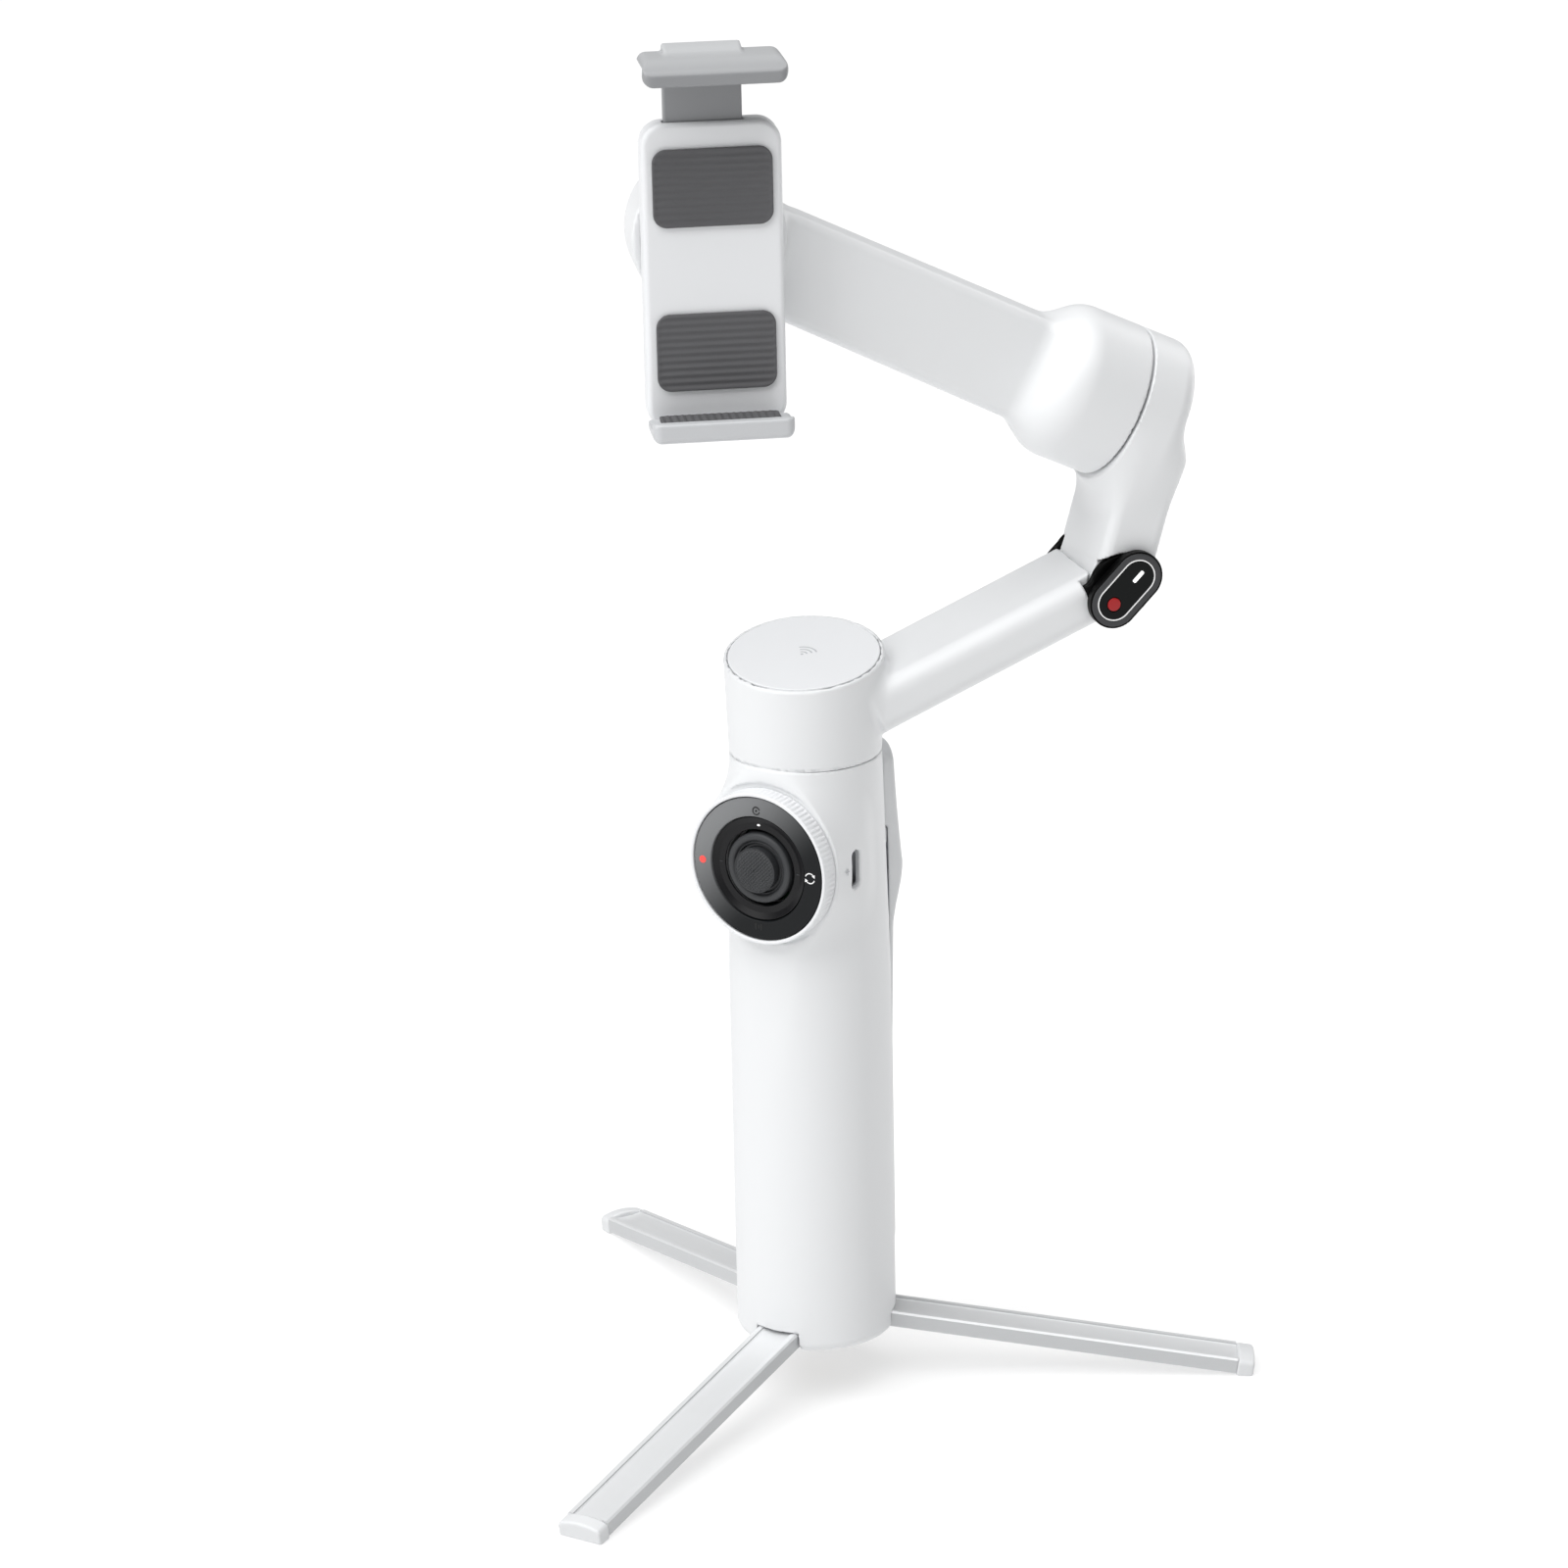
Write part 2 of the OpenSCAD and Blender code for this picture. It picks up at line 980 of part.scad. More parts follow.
module upper_jaw_pad() {
    color("dimgray")
        clamp_frame()
            block([-13, -19.5, phone_z + jaw_gap], [13, -11.4, phone_z + jaw_gap + 0.8]);
}

handle_shell();
grip_strip();
pan_stator();
pan_bearing();
battery_cell();
main_board();
usb_port();
touch_ring();
ring_insert();
stick_module();
stick_spring();
trigger_switch();
trigger_pin();
trigger_spring();
rod_sleeve();
dial_ring();
stick_cross();
stick_cap();
trigger();
rod_tube();
rod_core();
tripod_hub();
thread_insert();
leg_pins();
leg_front();
foot_front();
leg_right();
foot_right();
leg_left();
foot_left();
pan_housing();
pan_cap();
pan_rotor();
pan_shaft();
arm_ribbon_cable();
elbow_ears();
elbow_pin();
pod_front();
pod_face();
pod_back();
pod_light();
record_button();
neck_shell();
tilt_stator();
tilt_bearing();
tilt_cover();
tilt_rotor();
tilt_shaft();
roll_stator();
roll_bearing();
clamp_body();
roll_rotor();
roll_shaft();
clamp_pads();
lower_jaw();
lower_jaw_pad();
jaw_springs();
upper_jaw();
upper_jaw_pad();
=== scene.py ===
"""Looks of the phone stabilizer: rounded shells, dial, pods, legs, jaws, materials, light and camera.

Shapes are written as signed distances in millimetres and meshed on a grid. Frames come from the joints.
"""
import json
import math

import bpy
import numpy as np
from mathutils import Matrix, Vector


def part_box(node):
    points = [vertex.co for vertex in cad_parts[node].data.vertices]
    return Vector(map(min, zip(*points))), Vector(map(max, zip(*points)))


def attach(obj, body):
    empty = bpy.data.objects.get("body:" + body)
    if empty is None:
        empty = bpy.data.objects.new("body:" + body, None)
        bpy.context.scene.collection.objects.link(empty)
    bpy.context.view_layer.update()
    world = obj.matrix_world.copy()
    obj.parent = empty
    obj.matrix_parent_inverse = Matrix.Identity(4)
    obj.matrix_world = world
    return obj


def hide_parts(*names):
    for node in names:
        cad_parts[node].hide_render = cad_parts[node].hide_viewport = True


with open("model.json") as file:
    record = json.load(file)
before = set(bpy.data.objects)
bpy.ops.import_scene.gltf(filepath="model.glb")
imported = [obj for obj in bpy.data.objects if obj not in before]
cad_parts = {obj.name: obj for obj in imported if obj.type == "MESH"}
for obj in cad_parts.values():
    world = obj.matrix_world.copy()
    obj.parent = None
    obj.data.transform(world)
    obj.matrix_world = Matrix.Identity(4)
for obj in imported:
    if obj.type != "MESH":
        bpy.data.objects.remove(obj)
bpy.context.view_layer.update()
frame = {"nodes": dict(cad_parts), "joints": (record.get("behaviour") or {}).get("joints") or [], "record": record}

MM = 0.001
TINY = 0.02  # step of the numeric gradient, mm
LEGS = ("front", "right", "left")


# ---------- frames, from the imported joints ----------

def turn(degrees, axis):
    return Matrix.Rotation(math.radians(degrees), 4, axis)


def shift(x, y, z):
    return Matrix.Translation((x, y, z))


def joint(name):
    """Position in mm and axis of a joint at rest."""
    found = next(j for j in frame["joints"] if j["name"] == name)
    return Vector(found.get("pos_m") or (0, 0, 0)) / MM, Vector(found["axis"])


def corners(node):
    """Lowest and highest corner of a CAD node, in mm."""
    low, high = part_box(node)
    return low / MM, high / MM


_, handle_high = corners("handle_shell")
housing_low, housing_high = corners("pan_housing")
elbow, _ = joint("elbow_fold")
tilt_centre, tilt_axis = joint("tilt")
roll_centre, roll_axis = joint("roll")
dial_centre, _ = joint("dial_turn")

arm_azimuth = math.degrees(math.atan2(elbow.y, elbow.x))
tilt_lean = math.degrees(math.acos(tilt_axis.z))
phone_azimuth = math.degrees(math.atan2(roll_axis.x, -roll_axis.y))

# Angles in degrees and heights in mm that no joint gives.
arm_slope = 22.3
neck_slope = 74
leg_slope = 9.13
cap_turn, cap_lean, cap_z = 21.6, 11.4, 162
port_azimuth, port_z = -27, 116.8
pod_turn = 45

WORLD = Matrix.Identity(4)
DIAL = shift(0, 0, dial_centre.z) @ turn(90, "X")
PORT = turn(port_azimuth, "Z") @ shift(0, 0, port_z) @ turn(90, "Y")
ELBOW = Matrix.Translation(elbow) @ turn(arm_azimuth, "Z")
ARM = ELBOW @ turn(-arm_slope, "Y")
NECK = ELBOW @ turn(-neck_slope, "Y")
TILT = Matrix.Translation(tilt_centre) @ turn(arm_azimuth, "Z") @ turn(-tilt_lean, "Y")
CAP = shift(0, 0, cap_z) @ turn(cap_turn, "Z") @ turn(cap_lean, "X")
CLAMP = shift(roll_centre.x, roll_centre.y, 0) @ turn(phone_azimuth, "Z")
POD = {side: ELBOW @ turn(-90 * side, "X") @ turn(-side * pod_turn, "Z") for side in (-1, 1)}


def leg_place(name):
    """A leg's hinge point, its azimuth in degrees, and its frame, with X out along the leg."""
    hinge, _ = joint(name + "_leg_fold")
    azimuth = math.degrees(math.atan2(hinge.y, hinge.x))
    return hinge, azimuth, Matrix.Translation(hinge) @ turn(azimuth, "Z") @ turn(leg_slope, "Y")


# ---------- signed distances, in mm, negative inside ----------

def both(a, b, r=0.4):
    """Intersection with its edge rounded to radius r."""
    outer = np.hypot(np.maximum(a + r, 0), np.maximum(b + r, 0))
    return np.minimum(np.maximum(a, b), -r) + outer


def joined(a, b, r=0.4):
    """Union with a fillet of radius r."""
    return -both(-a, -b, r)


def cut(a, b, r=0.4):
    """a without b, with the new edge rounded."""
    return both(a, -b, r)


def slab(v, low, high):
    """The layer between two planes."""
    return np.abs(v - (low + high) / 2) - (high - low) / 2


def block(p, low, high, edge=0.5):
    """A box between two corners, with round edges."""
    q = [np.abs(v - (a + b) / 2) - (b - a) / 2 + edge for v, a, b in zip(p, low, high)]
    outside = np.sqrt(sum(np.maximum(v, 0) ** 2 for v in q))
    return outside + np.minimum(np.maximum(np.maximum(q[0], q[1]), q[2]), 0) - edge


def rectangle(u, v, w, h, r):
    """A plane rectangle of size w by h with corners of radius r, centred on the origin."""
    a = np.abs(u) - w / 2 + r
    b = np.abs(v) - h / 2 + r
    return np.hypot(np.maximum(a, 0), np.maximum(b, 0)) + np.minimum(np.maximum(a, b), 0) - r


def stadium(u, v, length, width):
    """A plane bar along u with round ends."""
    return np.hypot(np.maximum(np.abs(u) - (length - width) / 2, 0), v) - width / 2


def into(matrix, x, y, z):
    """The same points as seen in another frame."""
    m = np.array(matrix.inverted())
    return [m[i, 0] * x + m[i, 1] * y + m[i, 2] * z + m[i, 3] for i in range(3)]


# ---------- meshing ----------

def net(value, low, step):
    """Surface nets: a point in each grid cell that the surface crosses, a quad for each crossed edge."""
    inside = value < 0
    cells = tuple(n - 1 for n in value.shape)
    count = np.zeros(cells, np.int8)
    offsets = [(i, j, k) for i in (0, 1) for j in (0, 1) for k in (0, 1)]
    for i, j, k in offsets:
        count += inside[i:i + cells[0], j:j + cells[1], k:k + cells[2]]
    at = np.argwhere((count > 0) & (count < 8))
    number = np.full(cells, -1, np.int64)
    number[tuple(at.T)] = np.arange(len(at))
    total = np.zeros((len(at), 3))
    hits = np.zeros(len(at))
    for a in offsets:
        for axis in range(3):
            if a[axis]:
                continue
            b = tuple(a[i] + (i == axis) for i in range(3))
            va = value[tuple((at + a).T)]
            vb = value[tuple((at + b).T)]
            crossed = (va < 0) != (vb < 0)
            t = np.where(crossed, va / np.where(crossed, va - vb, 1), 0)
            point = np.array(a, float) + t[:, None] * (np.array(b, float) - a)
            total += point * crossed[:, None]
            hits += crossed
    points = (at + total / hits[:, None]) * step + low
    quads = []
    for axis in range(3):
        u, v = (axis + 1) % 3, (axis + 2) % 3
        first = np.take(inside, range(value.shape[axis] - 1), axis)
        second = np.take(inside, range(1, value.shape[axis]), axis)
        edges = np.argwhere(first != second)
        edges = edges[(edges[:, u] > 0) & (edges[:, v] > 0)]
        edges = edges[(edges[:, u] < cells[u]) & (edges[:, v] < cells[v])]
        du, dv = np.eye(3, dtype=int)[u], np.eye(3, dtype=int)[v]
        ring = [number[tuple((edges - s * du - t * dv).T)] for s, t in ((1, 1), (0, 1), (0, 0), (1, 0))]
        quad = np.stack(ring, 1)
        flip = ~first[tuple(edges.T)]
        quad[flip] = quad[flip][:, ::-1]
        quads.append(quad)
    return points, np.concatenate(quads)


def gradient(field, p):
    """The field's slope at each point."""
    columns = []
    for i in range(3):
        ahead, behind = p.copy(), p.copy()
        ahead[:, i] += TINY
        behind[:, i] -= TINY
        columns.append((field(*ahead.T) - field(*behind.T)) / (2 * TINY))
    return np.stack(columns, 1)


def face_weighted(points, mesh):
    """Vertex normals that follow the larger faces, so that a flat face beside a round edge looks flat."""
    total = np.zeros_like(points)
    for face in mesh.polygons:
        total[list(face.vertices)] += np.array(face.normal) * face.area
    return total / np.maximum(np.linalg.norm(total, axis=1), 1e-12)[:, None]


def make_object(name, points, faces, matrix, normals=None, sharp=None):
    """A smooth mesh object from points in mm in the given frame; sharp is an edge angle in degrees."""
    m = np.array(matrix)
    world = (points @ m[:3, :3].T + m[:3, 3]) * MM
    mesh = bpy.data.meshes.new(name)
    mesh.from_pydata(world.tolist(), [], [list(map(int, f)) for f in faces])
    mesh.polygons.foreach_set("use_smooth", [True] * len(mesh.polygons))
    if sharp:
        mesh.set_sharp_from_angle(angle=math.radians(sharp))
    else:
        turned = face_weighted(world, mesh) if normals is None else normals @ m[:3, :3].T
        mesh.normals_split_custom_set_from_vertices(turned.tolist())
    piece = bpy.data.objects.new(name, mesh)
    bpy.context.scene.collection.objects.link(piece)
    return piece


def solid(name, field, low, high, step, matrix=WORLD):
    """Meshes the body inside field's zero level, between two corners in the given frame."""
    low = np.array(low, float) - 1.5 * step
    shape = np.ceil((np.array(high) - low) / step).astype(int) + 2
    axes = [low[i] + step * np.arange(shape[i]) for i in range(3)]
    value = field(*np.meshgrid(*axes, indexing="ij"))
    points, quads = net(value, low, step)
    for _ in range(3):
        slope = gradient(field, points)
        size = np.maximum((slope ** 2).sum(1), 0.05)
        move = field(*points.T) / size
        points -= slope * np.clip(move, -step / 2, step / 2)[:, None]
    slope = gradient(field, points)
    slope /= np.maximum(np.linalg.norm(slope, axis=1), 1e-6)[:, None]
    return make_object(name, points, quads, matrix, slope)


def rounded(outline, radius, steps=5):
    """A closed outline of (u, v, radius factor) corners with each corner turned into an arc."""
    points = np.array([c[:2] for c in outline], float)
    result = []
    for i, corner in enumerate(outline):
        r = radius * (corner[2] if len(corner) > 2 else 1)
        here, before, after = points[i], points[i - 1], points[(i + 1) % len(points)]
        a, b = before - here, after - here
        a, b = a / np.linalg.norm(a), b / np.linalg.norm(b)
        half = math.acos(float(np.clip(a @ b, -1, 1))) / 2
        if r < 1e-6 or half > 1.55:
            result.append(here)
            continue
        back = r / math.tan(half)
        middle = here + (a + b) / np.linalg.norm(a + b) * r / math.sin(half)
        start = here + a * back - middle
        sweep = math.pi - 2 * half
        side = np.sign(a[0] * b[1] - a[1] * b[0])
        for k in range(steps + 1):
            angle = -side * sweep * k / steps
            c, s = math.cos(angle), math.sin(angle)
            result.append(middle + np.array([c * start[0] - s * start[1], s * start[0] + c * start[1]]))
    return np.array(result)


def lathe(name, outline, matrix, segments=192, ripple=None):
    """Turns a closed outline of (radius, height) about the frame's Z axis; ripple moves its points."""
    angles = np.linspace(0, 2 * math.pi, segments, endpoint=False)
    r = np.repeat(outline[:, 0][None], segments, 0)
    z = np.repeat(outline[:, 1][None], segments, 0)
    a = np.repeat(angles[:, None], len(outline), 1)
    if ripple:
        r, z = ripple(r, z, a)
    points = np.stack([r * np.cos(a), r * np.sin(a), z], -1).reshape(-1, 3)
    count = len(outline)
    faces = []
    for i in range(segments):
        j = (i + 1) % segments
        for k in range(count):
            n = (k + 1) % count
            faces.append((i * count + k, j * count + k, j * count + n, i * count + n))
    return make_object(name, points, faces, matrix)


def sweep(name, outline, x0, x1, matrix):
    """Extrudes a closed outline of (y, z) along the frame's X axis, with flat ends."""
    count = len(outline)
    points = np.array([(x, y, z) for x in (x0, x1) for y, z in outline])
    faces = [(k, (k + 1) % count, count + (k + 1) % count, count + k) for k in range(count)]
    faces += [tuple(range(count))[::-1], tuple(range(count, 2 * count))]
    return make_object(name, points, faces, matrix, sharp=20)


# ---------- materials ----------

def material(name, colour, roughness, metallic=0.0, grain=0.0, grain_size=0.3, tint=0.03, spread=0.05,
             coat=0.0, stretch=(1, 1, 1), rotation=0.0, specular=0.5):
    """A surface with fine grain in its relief, roughness and tone. grain and grain_size are in mm."""
    made = bpy.data.materials.new(name)
    made.use_nodes = True
    nodes, links = made.node_tree.nodes, made.node_tree.links
    shader = nodes["Principled BSDF"]
    shader.inputs["Metallic"].default_value = metallic
    shader.inputs["Coat Weight"].default_value = coat
    shader.inputs["Coat Roughness"].default_value = 0.05
    shader.inputs["Specular IOR Level"].default_value = specular
    place = nodes.new("ShaderNodeTexCoord")
    mapping = nodes.new("ShaderNodeMapping")
    mapping.inputs["Rotation"].default_value = (0, 0, math.radians(rotation))
    mapping.inputs["Scale"].default_value = stretch
    links.new(place.outputs["Object"], mapping.inputs["Vector"])
    fine = nodes.new("ShaderNodeTexNoise")
    fine.inputs["Scale"].default_value = 1 / (grain_size * MM)
    fine.inputs["Detail"].default_value = 3
    broad = nodes.new("ShaderNodeTexNoise")
    broad.inputs["Scale"].default_value = 45
    broad.inputs["Detail"].default_value = 2
    for texture in (fine, broad):
        links.new(mapping.outputs["Vector"], texture.inputs["Vector"])
    tone = nodes.new("ShaderNodeMix")
    tone.data_type = "RGBA"
    tone.inputs["A"].default_value = (*[c * (1 - tint) for c in colour], 1)
    tone.inputs["B"].default_value = (*[min(c * (1 + tint), 1) for c in colour], 1)
    links.new(broad.outputs["Fac"], tone.inputs["Factor"])
    links.new(tone.outputs["Result"], shader.inputs["Base Color"])
    rough = nodes.new("ShaderNodeMapRange")
    rough.inputs["To Min"].default_value = max(roughness - spread, 0.02)
    rough.inputs["To Max"].default_value = roughness + spread
    links.new(fine.outputs["Fac"], rough.inputs["Value"])
    links.new(rough.outputs["Result"], shader.inputs["Roughness"])
    if grain:
        bump = nodes.new("ShaderNodeBump")
        bump.inputs["Distance"].default_value = grain * MM
        bump.inputs["Strength"].default_value = 1
        links.new(fine.outputs["Fac"], bump.inputs["Height"])
        links.new(bump.outputs["Normal"], shader.inputs["Normal"])
    return made


def painted_sheen(made, direction, start, end, light):
    """Paints a highlight into the base colour: lightens a surface smoothly along a direction fixed in the part,
    from start to end in mm.
    """
    nodes, links = made.node_tree.nodes, made.node_tree.links
    base = nodes["Principled BSDF"].inputs["Base Color"]
    place = nodes.new("ShaderNodeTexCoord")
    along = nodes.new("ShaderNodeVectorMath")
    along.operation = "DOT_PRODUCT"
    along.inputs[1].default_value = direction
    links.new(place.outputs["Object"], along.inputs[0])
    ramp = nodes.new("ShaderNodeMapRange")
    ramp.interpolation_type = "SMOOTHSTEP"
    ramp.inputs["From Min"].default_value = start * MM
    ramp.inputs["From Max"].default_value = end * MM
    links.new(along.outputs["Value"], ramp.inputs["Value"])
    blend = nodes.new("ShaderNodeMix")
    blend.data_type = "RGBA"
    blend.inputs["B"].default_value = (*light, 1)  # the full tone past end
    links.new(base.links[0].from_socket, blend.inputs["A"])
    links.new(ramp.outputs["Result"], blend.inputs["Factor"])
    links.new(blend.outputs["Result"], base)
    return made


def lamp_or_painted_glow(name, colour, strength):
    """Gives a surface light of its own colour: real light for the lamps, a painted glow for the marks and the
    record key, which are no lamps.
    """
    made = material(name, colour, 0.4)
    shader = made.node_tree.nodes["Principled BSDF"]
    shader.inputs["Emission Color"].default_value = (*colour, 1)
    shader.inputs["Emission Strength"].default_value = strength
    return made


white_shell = material("white_shell", (0.775, 0.785, 0.795), 0.42, grain=0.012, grain_size=0.35,
                       tint=0.006)
white_cap = material("white_cap", (0.785, 0.795, 0.81), 0.46, grain=0.010, grain_size=0.30, tint=0.006)
grip_rubber = material("grip_rubber", (0.74, 0.75, 0.76), 0.62, grain=0.03, grain_size=0.25, tint=0.015)
clamp_rubber = material("clamp_rubber", (0.10, 0.10, 0.105), 0.8, grain=0.05, grain_size=0.3, tint=0.1)
# Painted shade: a darker copy of jaw_grey for the upper jaw, so that its front reads shaded; its top gets a
# painted highlight further down.
jaw_grey_painted_shade_highlight = material("jaw_grey_painted_shade_highlight", (0.27, 0.275, 0.285), 0.38, grain=0.010, grain_size=0.30, tint=0.01)
jaw_grey = material("jaw_grey", (0.55, 0.56, 0.575), 0.36, grain=0.010, grain_size=0.30, tint=0.01)
gloss_black = material("gloss_black", (0.005, 0.006, 0.006), 0.14, specular=0.12, tint=0.1, spread=0.02)
pod_black = material("pod_black", (0.002, 0.002, 0.002), 0.35, specular=0.08, tint=0.1, grain=0.008)
ring_black_painted_reflection = material("ring_black_painted_reflection", (0.006, 0.007, 0.008), 0.30, specular=0.18, tint=0.1, spread=0.02)
# Painted reflection on the touch ring: its black lightens towards -X and upwards, in place of a soft box's
# reflection in the gloss.
dial_middle = dial_centre.z * 0.7
painted_sheen(ring_black_painted_reflection, (-0.7, 0, 0.7), dial_middle - 7, dial_middle + 17, (0.22, 0.225, 0.23))
recess_black = material("recess_black", (0.004, 0.004, 0.005), 0.35, tint=0.1, specular=0.25)
dark_plastic = material("dark_plastic", (0.030, 0.032, 0.036), 0.5, grain=0.02, grain_size=0.2, tint=0.1)
bezel_grey = material("bezel_grey", (0.050, 0.051, 0.054), 0.42, specular=0.3, grain=0.015, grain_size=0.2,
                      tint=0.08)
stick_rubber = material("stick_rubber", (0.030, 0.032, 0.035), 0.55, grain=0.02, grain_size=0.15,
                        tint=0.12)
mark_black = material("mark_black", (0.004, 0.004, 0.004), 0.6, tint=0.1)
# Painted glow: the white marks, the swap icon and the pod's line, are print, yet give a little light.
mark_white_painted_glow = lamp_or_painted_glow("mark_white_painted_glow", (0.80, 0.80, 0.80), 0.25)
mark_grey = material("mark_grey", (0.50, 0.51, 0.53), 0.6, tint=0.02)
light_white = lamp_or_painted_glow("light_white", (0.95, 0.95, 0.95), 1.0)
# Painted glow: the record key is no lamp, yet gives a faint light.
record_red = lamp_or_painted_glow("record_red", (0.36, 0.001, 0.003), 0.03)
# Painted glow: the red dot on the ring is print, yet gives a little light.
dot_red_painted_glow = lamp_or_painted_glow("dot_red_painted_glow", (0.85, 0.06, 0.05), 0.35)
steel = material("steel", (0.50, 0.51, 0.52), 0.3, metallic=1, grain=0.01, grain_size=0.2, tint=0.05)
brass = material("brass", (0.72, 0.50, 0.22), 0.3, metallic=1, grain=0.01, grain_size=0.2, tint=0.06)
copper_coils = material("copper_coils", (0.62, 0.26, 0.10), 0.35, metallic=1, grain=0.08, grain_size=0.5,
                        stretch=(1, 1, 8), tint=0.12)
circuit_board = material("circuit_board", (0.02, 0.13, 0.05), 0.35, grain=0.03, grain_size=0.8, tint=0.25)
battery_sleeve = material("battery_sleeve", (0.04, 0.14, 0.38), 0.25, coat=0.4, tint=0.08)
ribbon_film = material("ribbon_film", (0.50, 0.20, 0.03), 0.25, stretch=(0.2, 8, 1), tint=0.2, coat=0.3)


def brushed(name, azimuth):
    """Anodised aluminium with its grain along a leg."""
    return material(name, (0.73, 0.74, 0.75), 0.38, metallic=0.2, grain=0.018, grain_size=0.25,
                    tint=0.03, spread=0.10, stretch=(0.04, 1, 1), rotation=-azimuth)


# Painted shade: a darker copy of white_cap for the feet, to tone down the strong light on their tops.
foot_white_painted_shade = material("foot_white_painted_shade", (0.68, 0.69, 0.70), 0.5, grain=0.012, tint=0.01)
# Painted shade: a darker copy of the leg aluminium for the legs' side faces.
leg_flank_painted_shade = material("leg_flank_painted_shade", (0.52, 0.53, 0.54), 0.4, metallic=0.1, grain=0.012, tint=0.03)


def dress(piece, look, body, slot, *nodes):
    """Gives a piece its material and body, and hides the CAD nodes that it stands for; slot is not used."""
    piece.data.materials.clear()
    piece.data.materials.append(look)
    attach(piece, body)
    if nodes:
        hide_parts(*nodes)
    return piece


# ---------- handle ----------

handle_r = handle_high.x
handle_top = handle_high.z
top_r = 17.1
straight_top = 88  # the tube tapers above this height
bore_r = 15.6
deck_z = 129.5  # floor between the handle's bore and the pan motor's cup
cup_r = 14.6
bearing_hole_r = 6.02
boss_r = 18.3  # round boss of the dial
boss_fillet = 6
boss_face = 17.45
seat_r, seat = 18.6, 17.0  # flat seat of the dial ring: radius and height along the dial's axis
stick_hole_r = 8.9
window = (88.2, 119.5)  # the trigger's opening in the shell
window_half = 12.3
strip_window_low = 88.8
strip_r = 19.7
strip_inner_r = 17.87
strip_middle_z, strip_height = 76.75, 123.4
strip_half_angle = math.radians(40.9)
port_len, port_w = 9.1, 2.9
leg_w = 10.5
notch_gap = 0.2
trigger_r, trigger_middle_z = 20.1, 104.1
trigger_w, trigger_h = 24, 29.5
pin_y, pin_z, pin_hole_r = 11, 117, 0.86


def handle_field(x, y, z):
    """The tube with the dial's boss, its cups and bores, and the openings for trigger, port and legs."""
    rho = np.hypot(x, y)
    wall = rho - np.interp(z, [0, straight_top, handle_top], [handle_r, handle_r, top_r])
    body = both(both(wall, -z, 2.5), z - handle_top, 0.35)
    u, v, w = into(DIAL, x, y, z)
    disc = np.hypot(u, v)
    body = joined(body, both(disc - boss_r, slab(w, 5, seat), 0.6), boss_fillet)
    body = both(body, np.abs(x) - boss_r - 0.05, 1)
    body = both(body, w - boss_face - 0.05 * np.maximum(disc - 18, 0), 1.2)
    body = cut(body, both(disc - seat_r, seat - w, 0.5), 0.3)
    body = cut(body, both(rho - bore_r, z - deck_z), 0.5)
    body = cut(body, rho - bearing_hole_r, 0.3)
    body = cut(body, both(rho - cup_r, deck_z + 2.5 - z), 0.3)
    body = cut(body, both(disc - stick_hole_r, 8 - w), 0.3)
    opening = block((x, y, z), (-window_half, 9, window[0]), (window_half, 30, window[1]), 1)
    body = cut(body, opening, 0.35)
    a, b, c = into(PORT, x, y, z)
    body = cut(body, both(stadium(a, b, port_len, port_w), 9 - c), 0.3)
    for name in LEGS:
        hinge = leg_place(name)[0]
        out = Vector((hinge.x, hinge.y)).normalized()
        along = x * out.x + y * out.y
        across = y * out.x - x * out.y
        roof = z - 5.55 + (along - 12.3) * math.tan(math.radians(leg_slope))
        notch = both(np.abs(across) - leg_w / 2 - notch_gap, roof, 0.3)
        body = cut(body, np.maximum(notch, 9 - along), 0.3)
    return body


def strip_radius(z):
    """The strip swells towards the top, where the index finger rests."""
    rise = 0.5 - 0.5 * np.cos(np.pi * np.clip((z - 94) / 16, 0, 1))
    fall = np.clip((z - 110) / 28.5, 0, 1)
    return strip_r + 0.7 * np.clip((z - 68) / 30, 0, 1) + rise * 2.35 - 1.9 * fall * (1.5 - 0.5 * fall)


def strip_field(x, y, z):
    """The soft strip wraps the handle's back, with the trigger's opening in it."""
    rho = np.hypot(x, y)
    angle = np.arctan2(x, y)
    middle = (strip_r + strip_inner_r) / 2
    face = rectangle(angle * middle, z - strip_middle_z, 2 * strip_half_angle * middle, strip_height, 5)
    body = both(face, both(rho - strip_radius(z), strip_inner_r - rho, 0.1), 0.8)
    opening = block((x, y, z), (-window_half, 9, strip_window_low), (window_half, 30, window[1]), 1.2)
    return cut(body, opening, 0.4)


def trigger_field(x, y, z):
    """A rounded key that swells in the middle, with two ears on its pin."""
    rho = np.hypot(x, y)
    swell = 0.5 + 0.5 * np.cos(np.pi * np.clip((z - 109.5) / 14, -1, 1))
    skin = both(rho - (trigger_r + 0.06 * (z - 89) + 2.5 * swell), 17.3 - y, 0.4)
    body = both(skin, rectangle(x, z - trigger_middle_z, trigger_w, trigger_h, 1.6), 0.6)
    for s in (-1, 1):
        ear = block((x, y, z), (s * 10.8 - 1.2, 9.2, 114.6), (s * 10.8 + 1.2, 18.2, 118.8), 0.6)
        body = joined(body, both(ear, rho - 19.3, 0.4), 0.5)
    return cut(body, np.hypot(y - pin_y, z - pin_z) - pin_hole_r, 0.1)


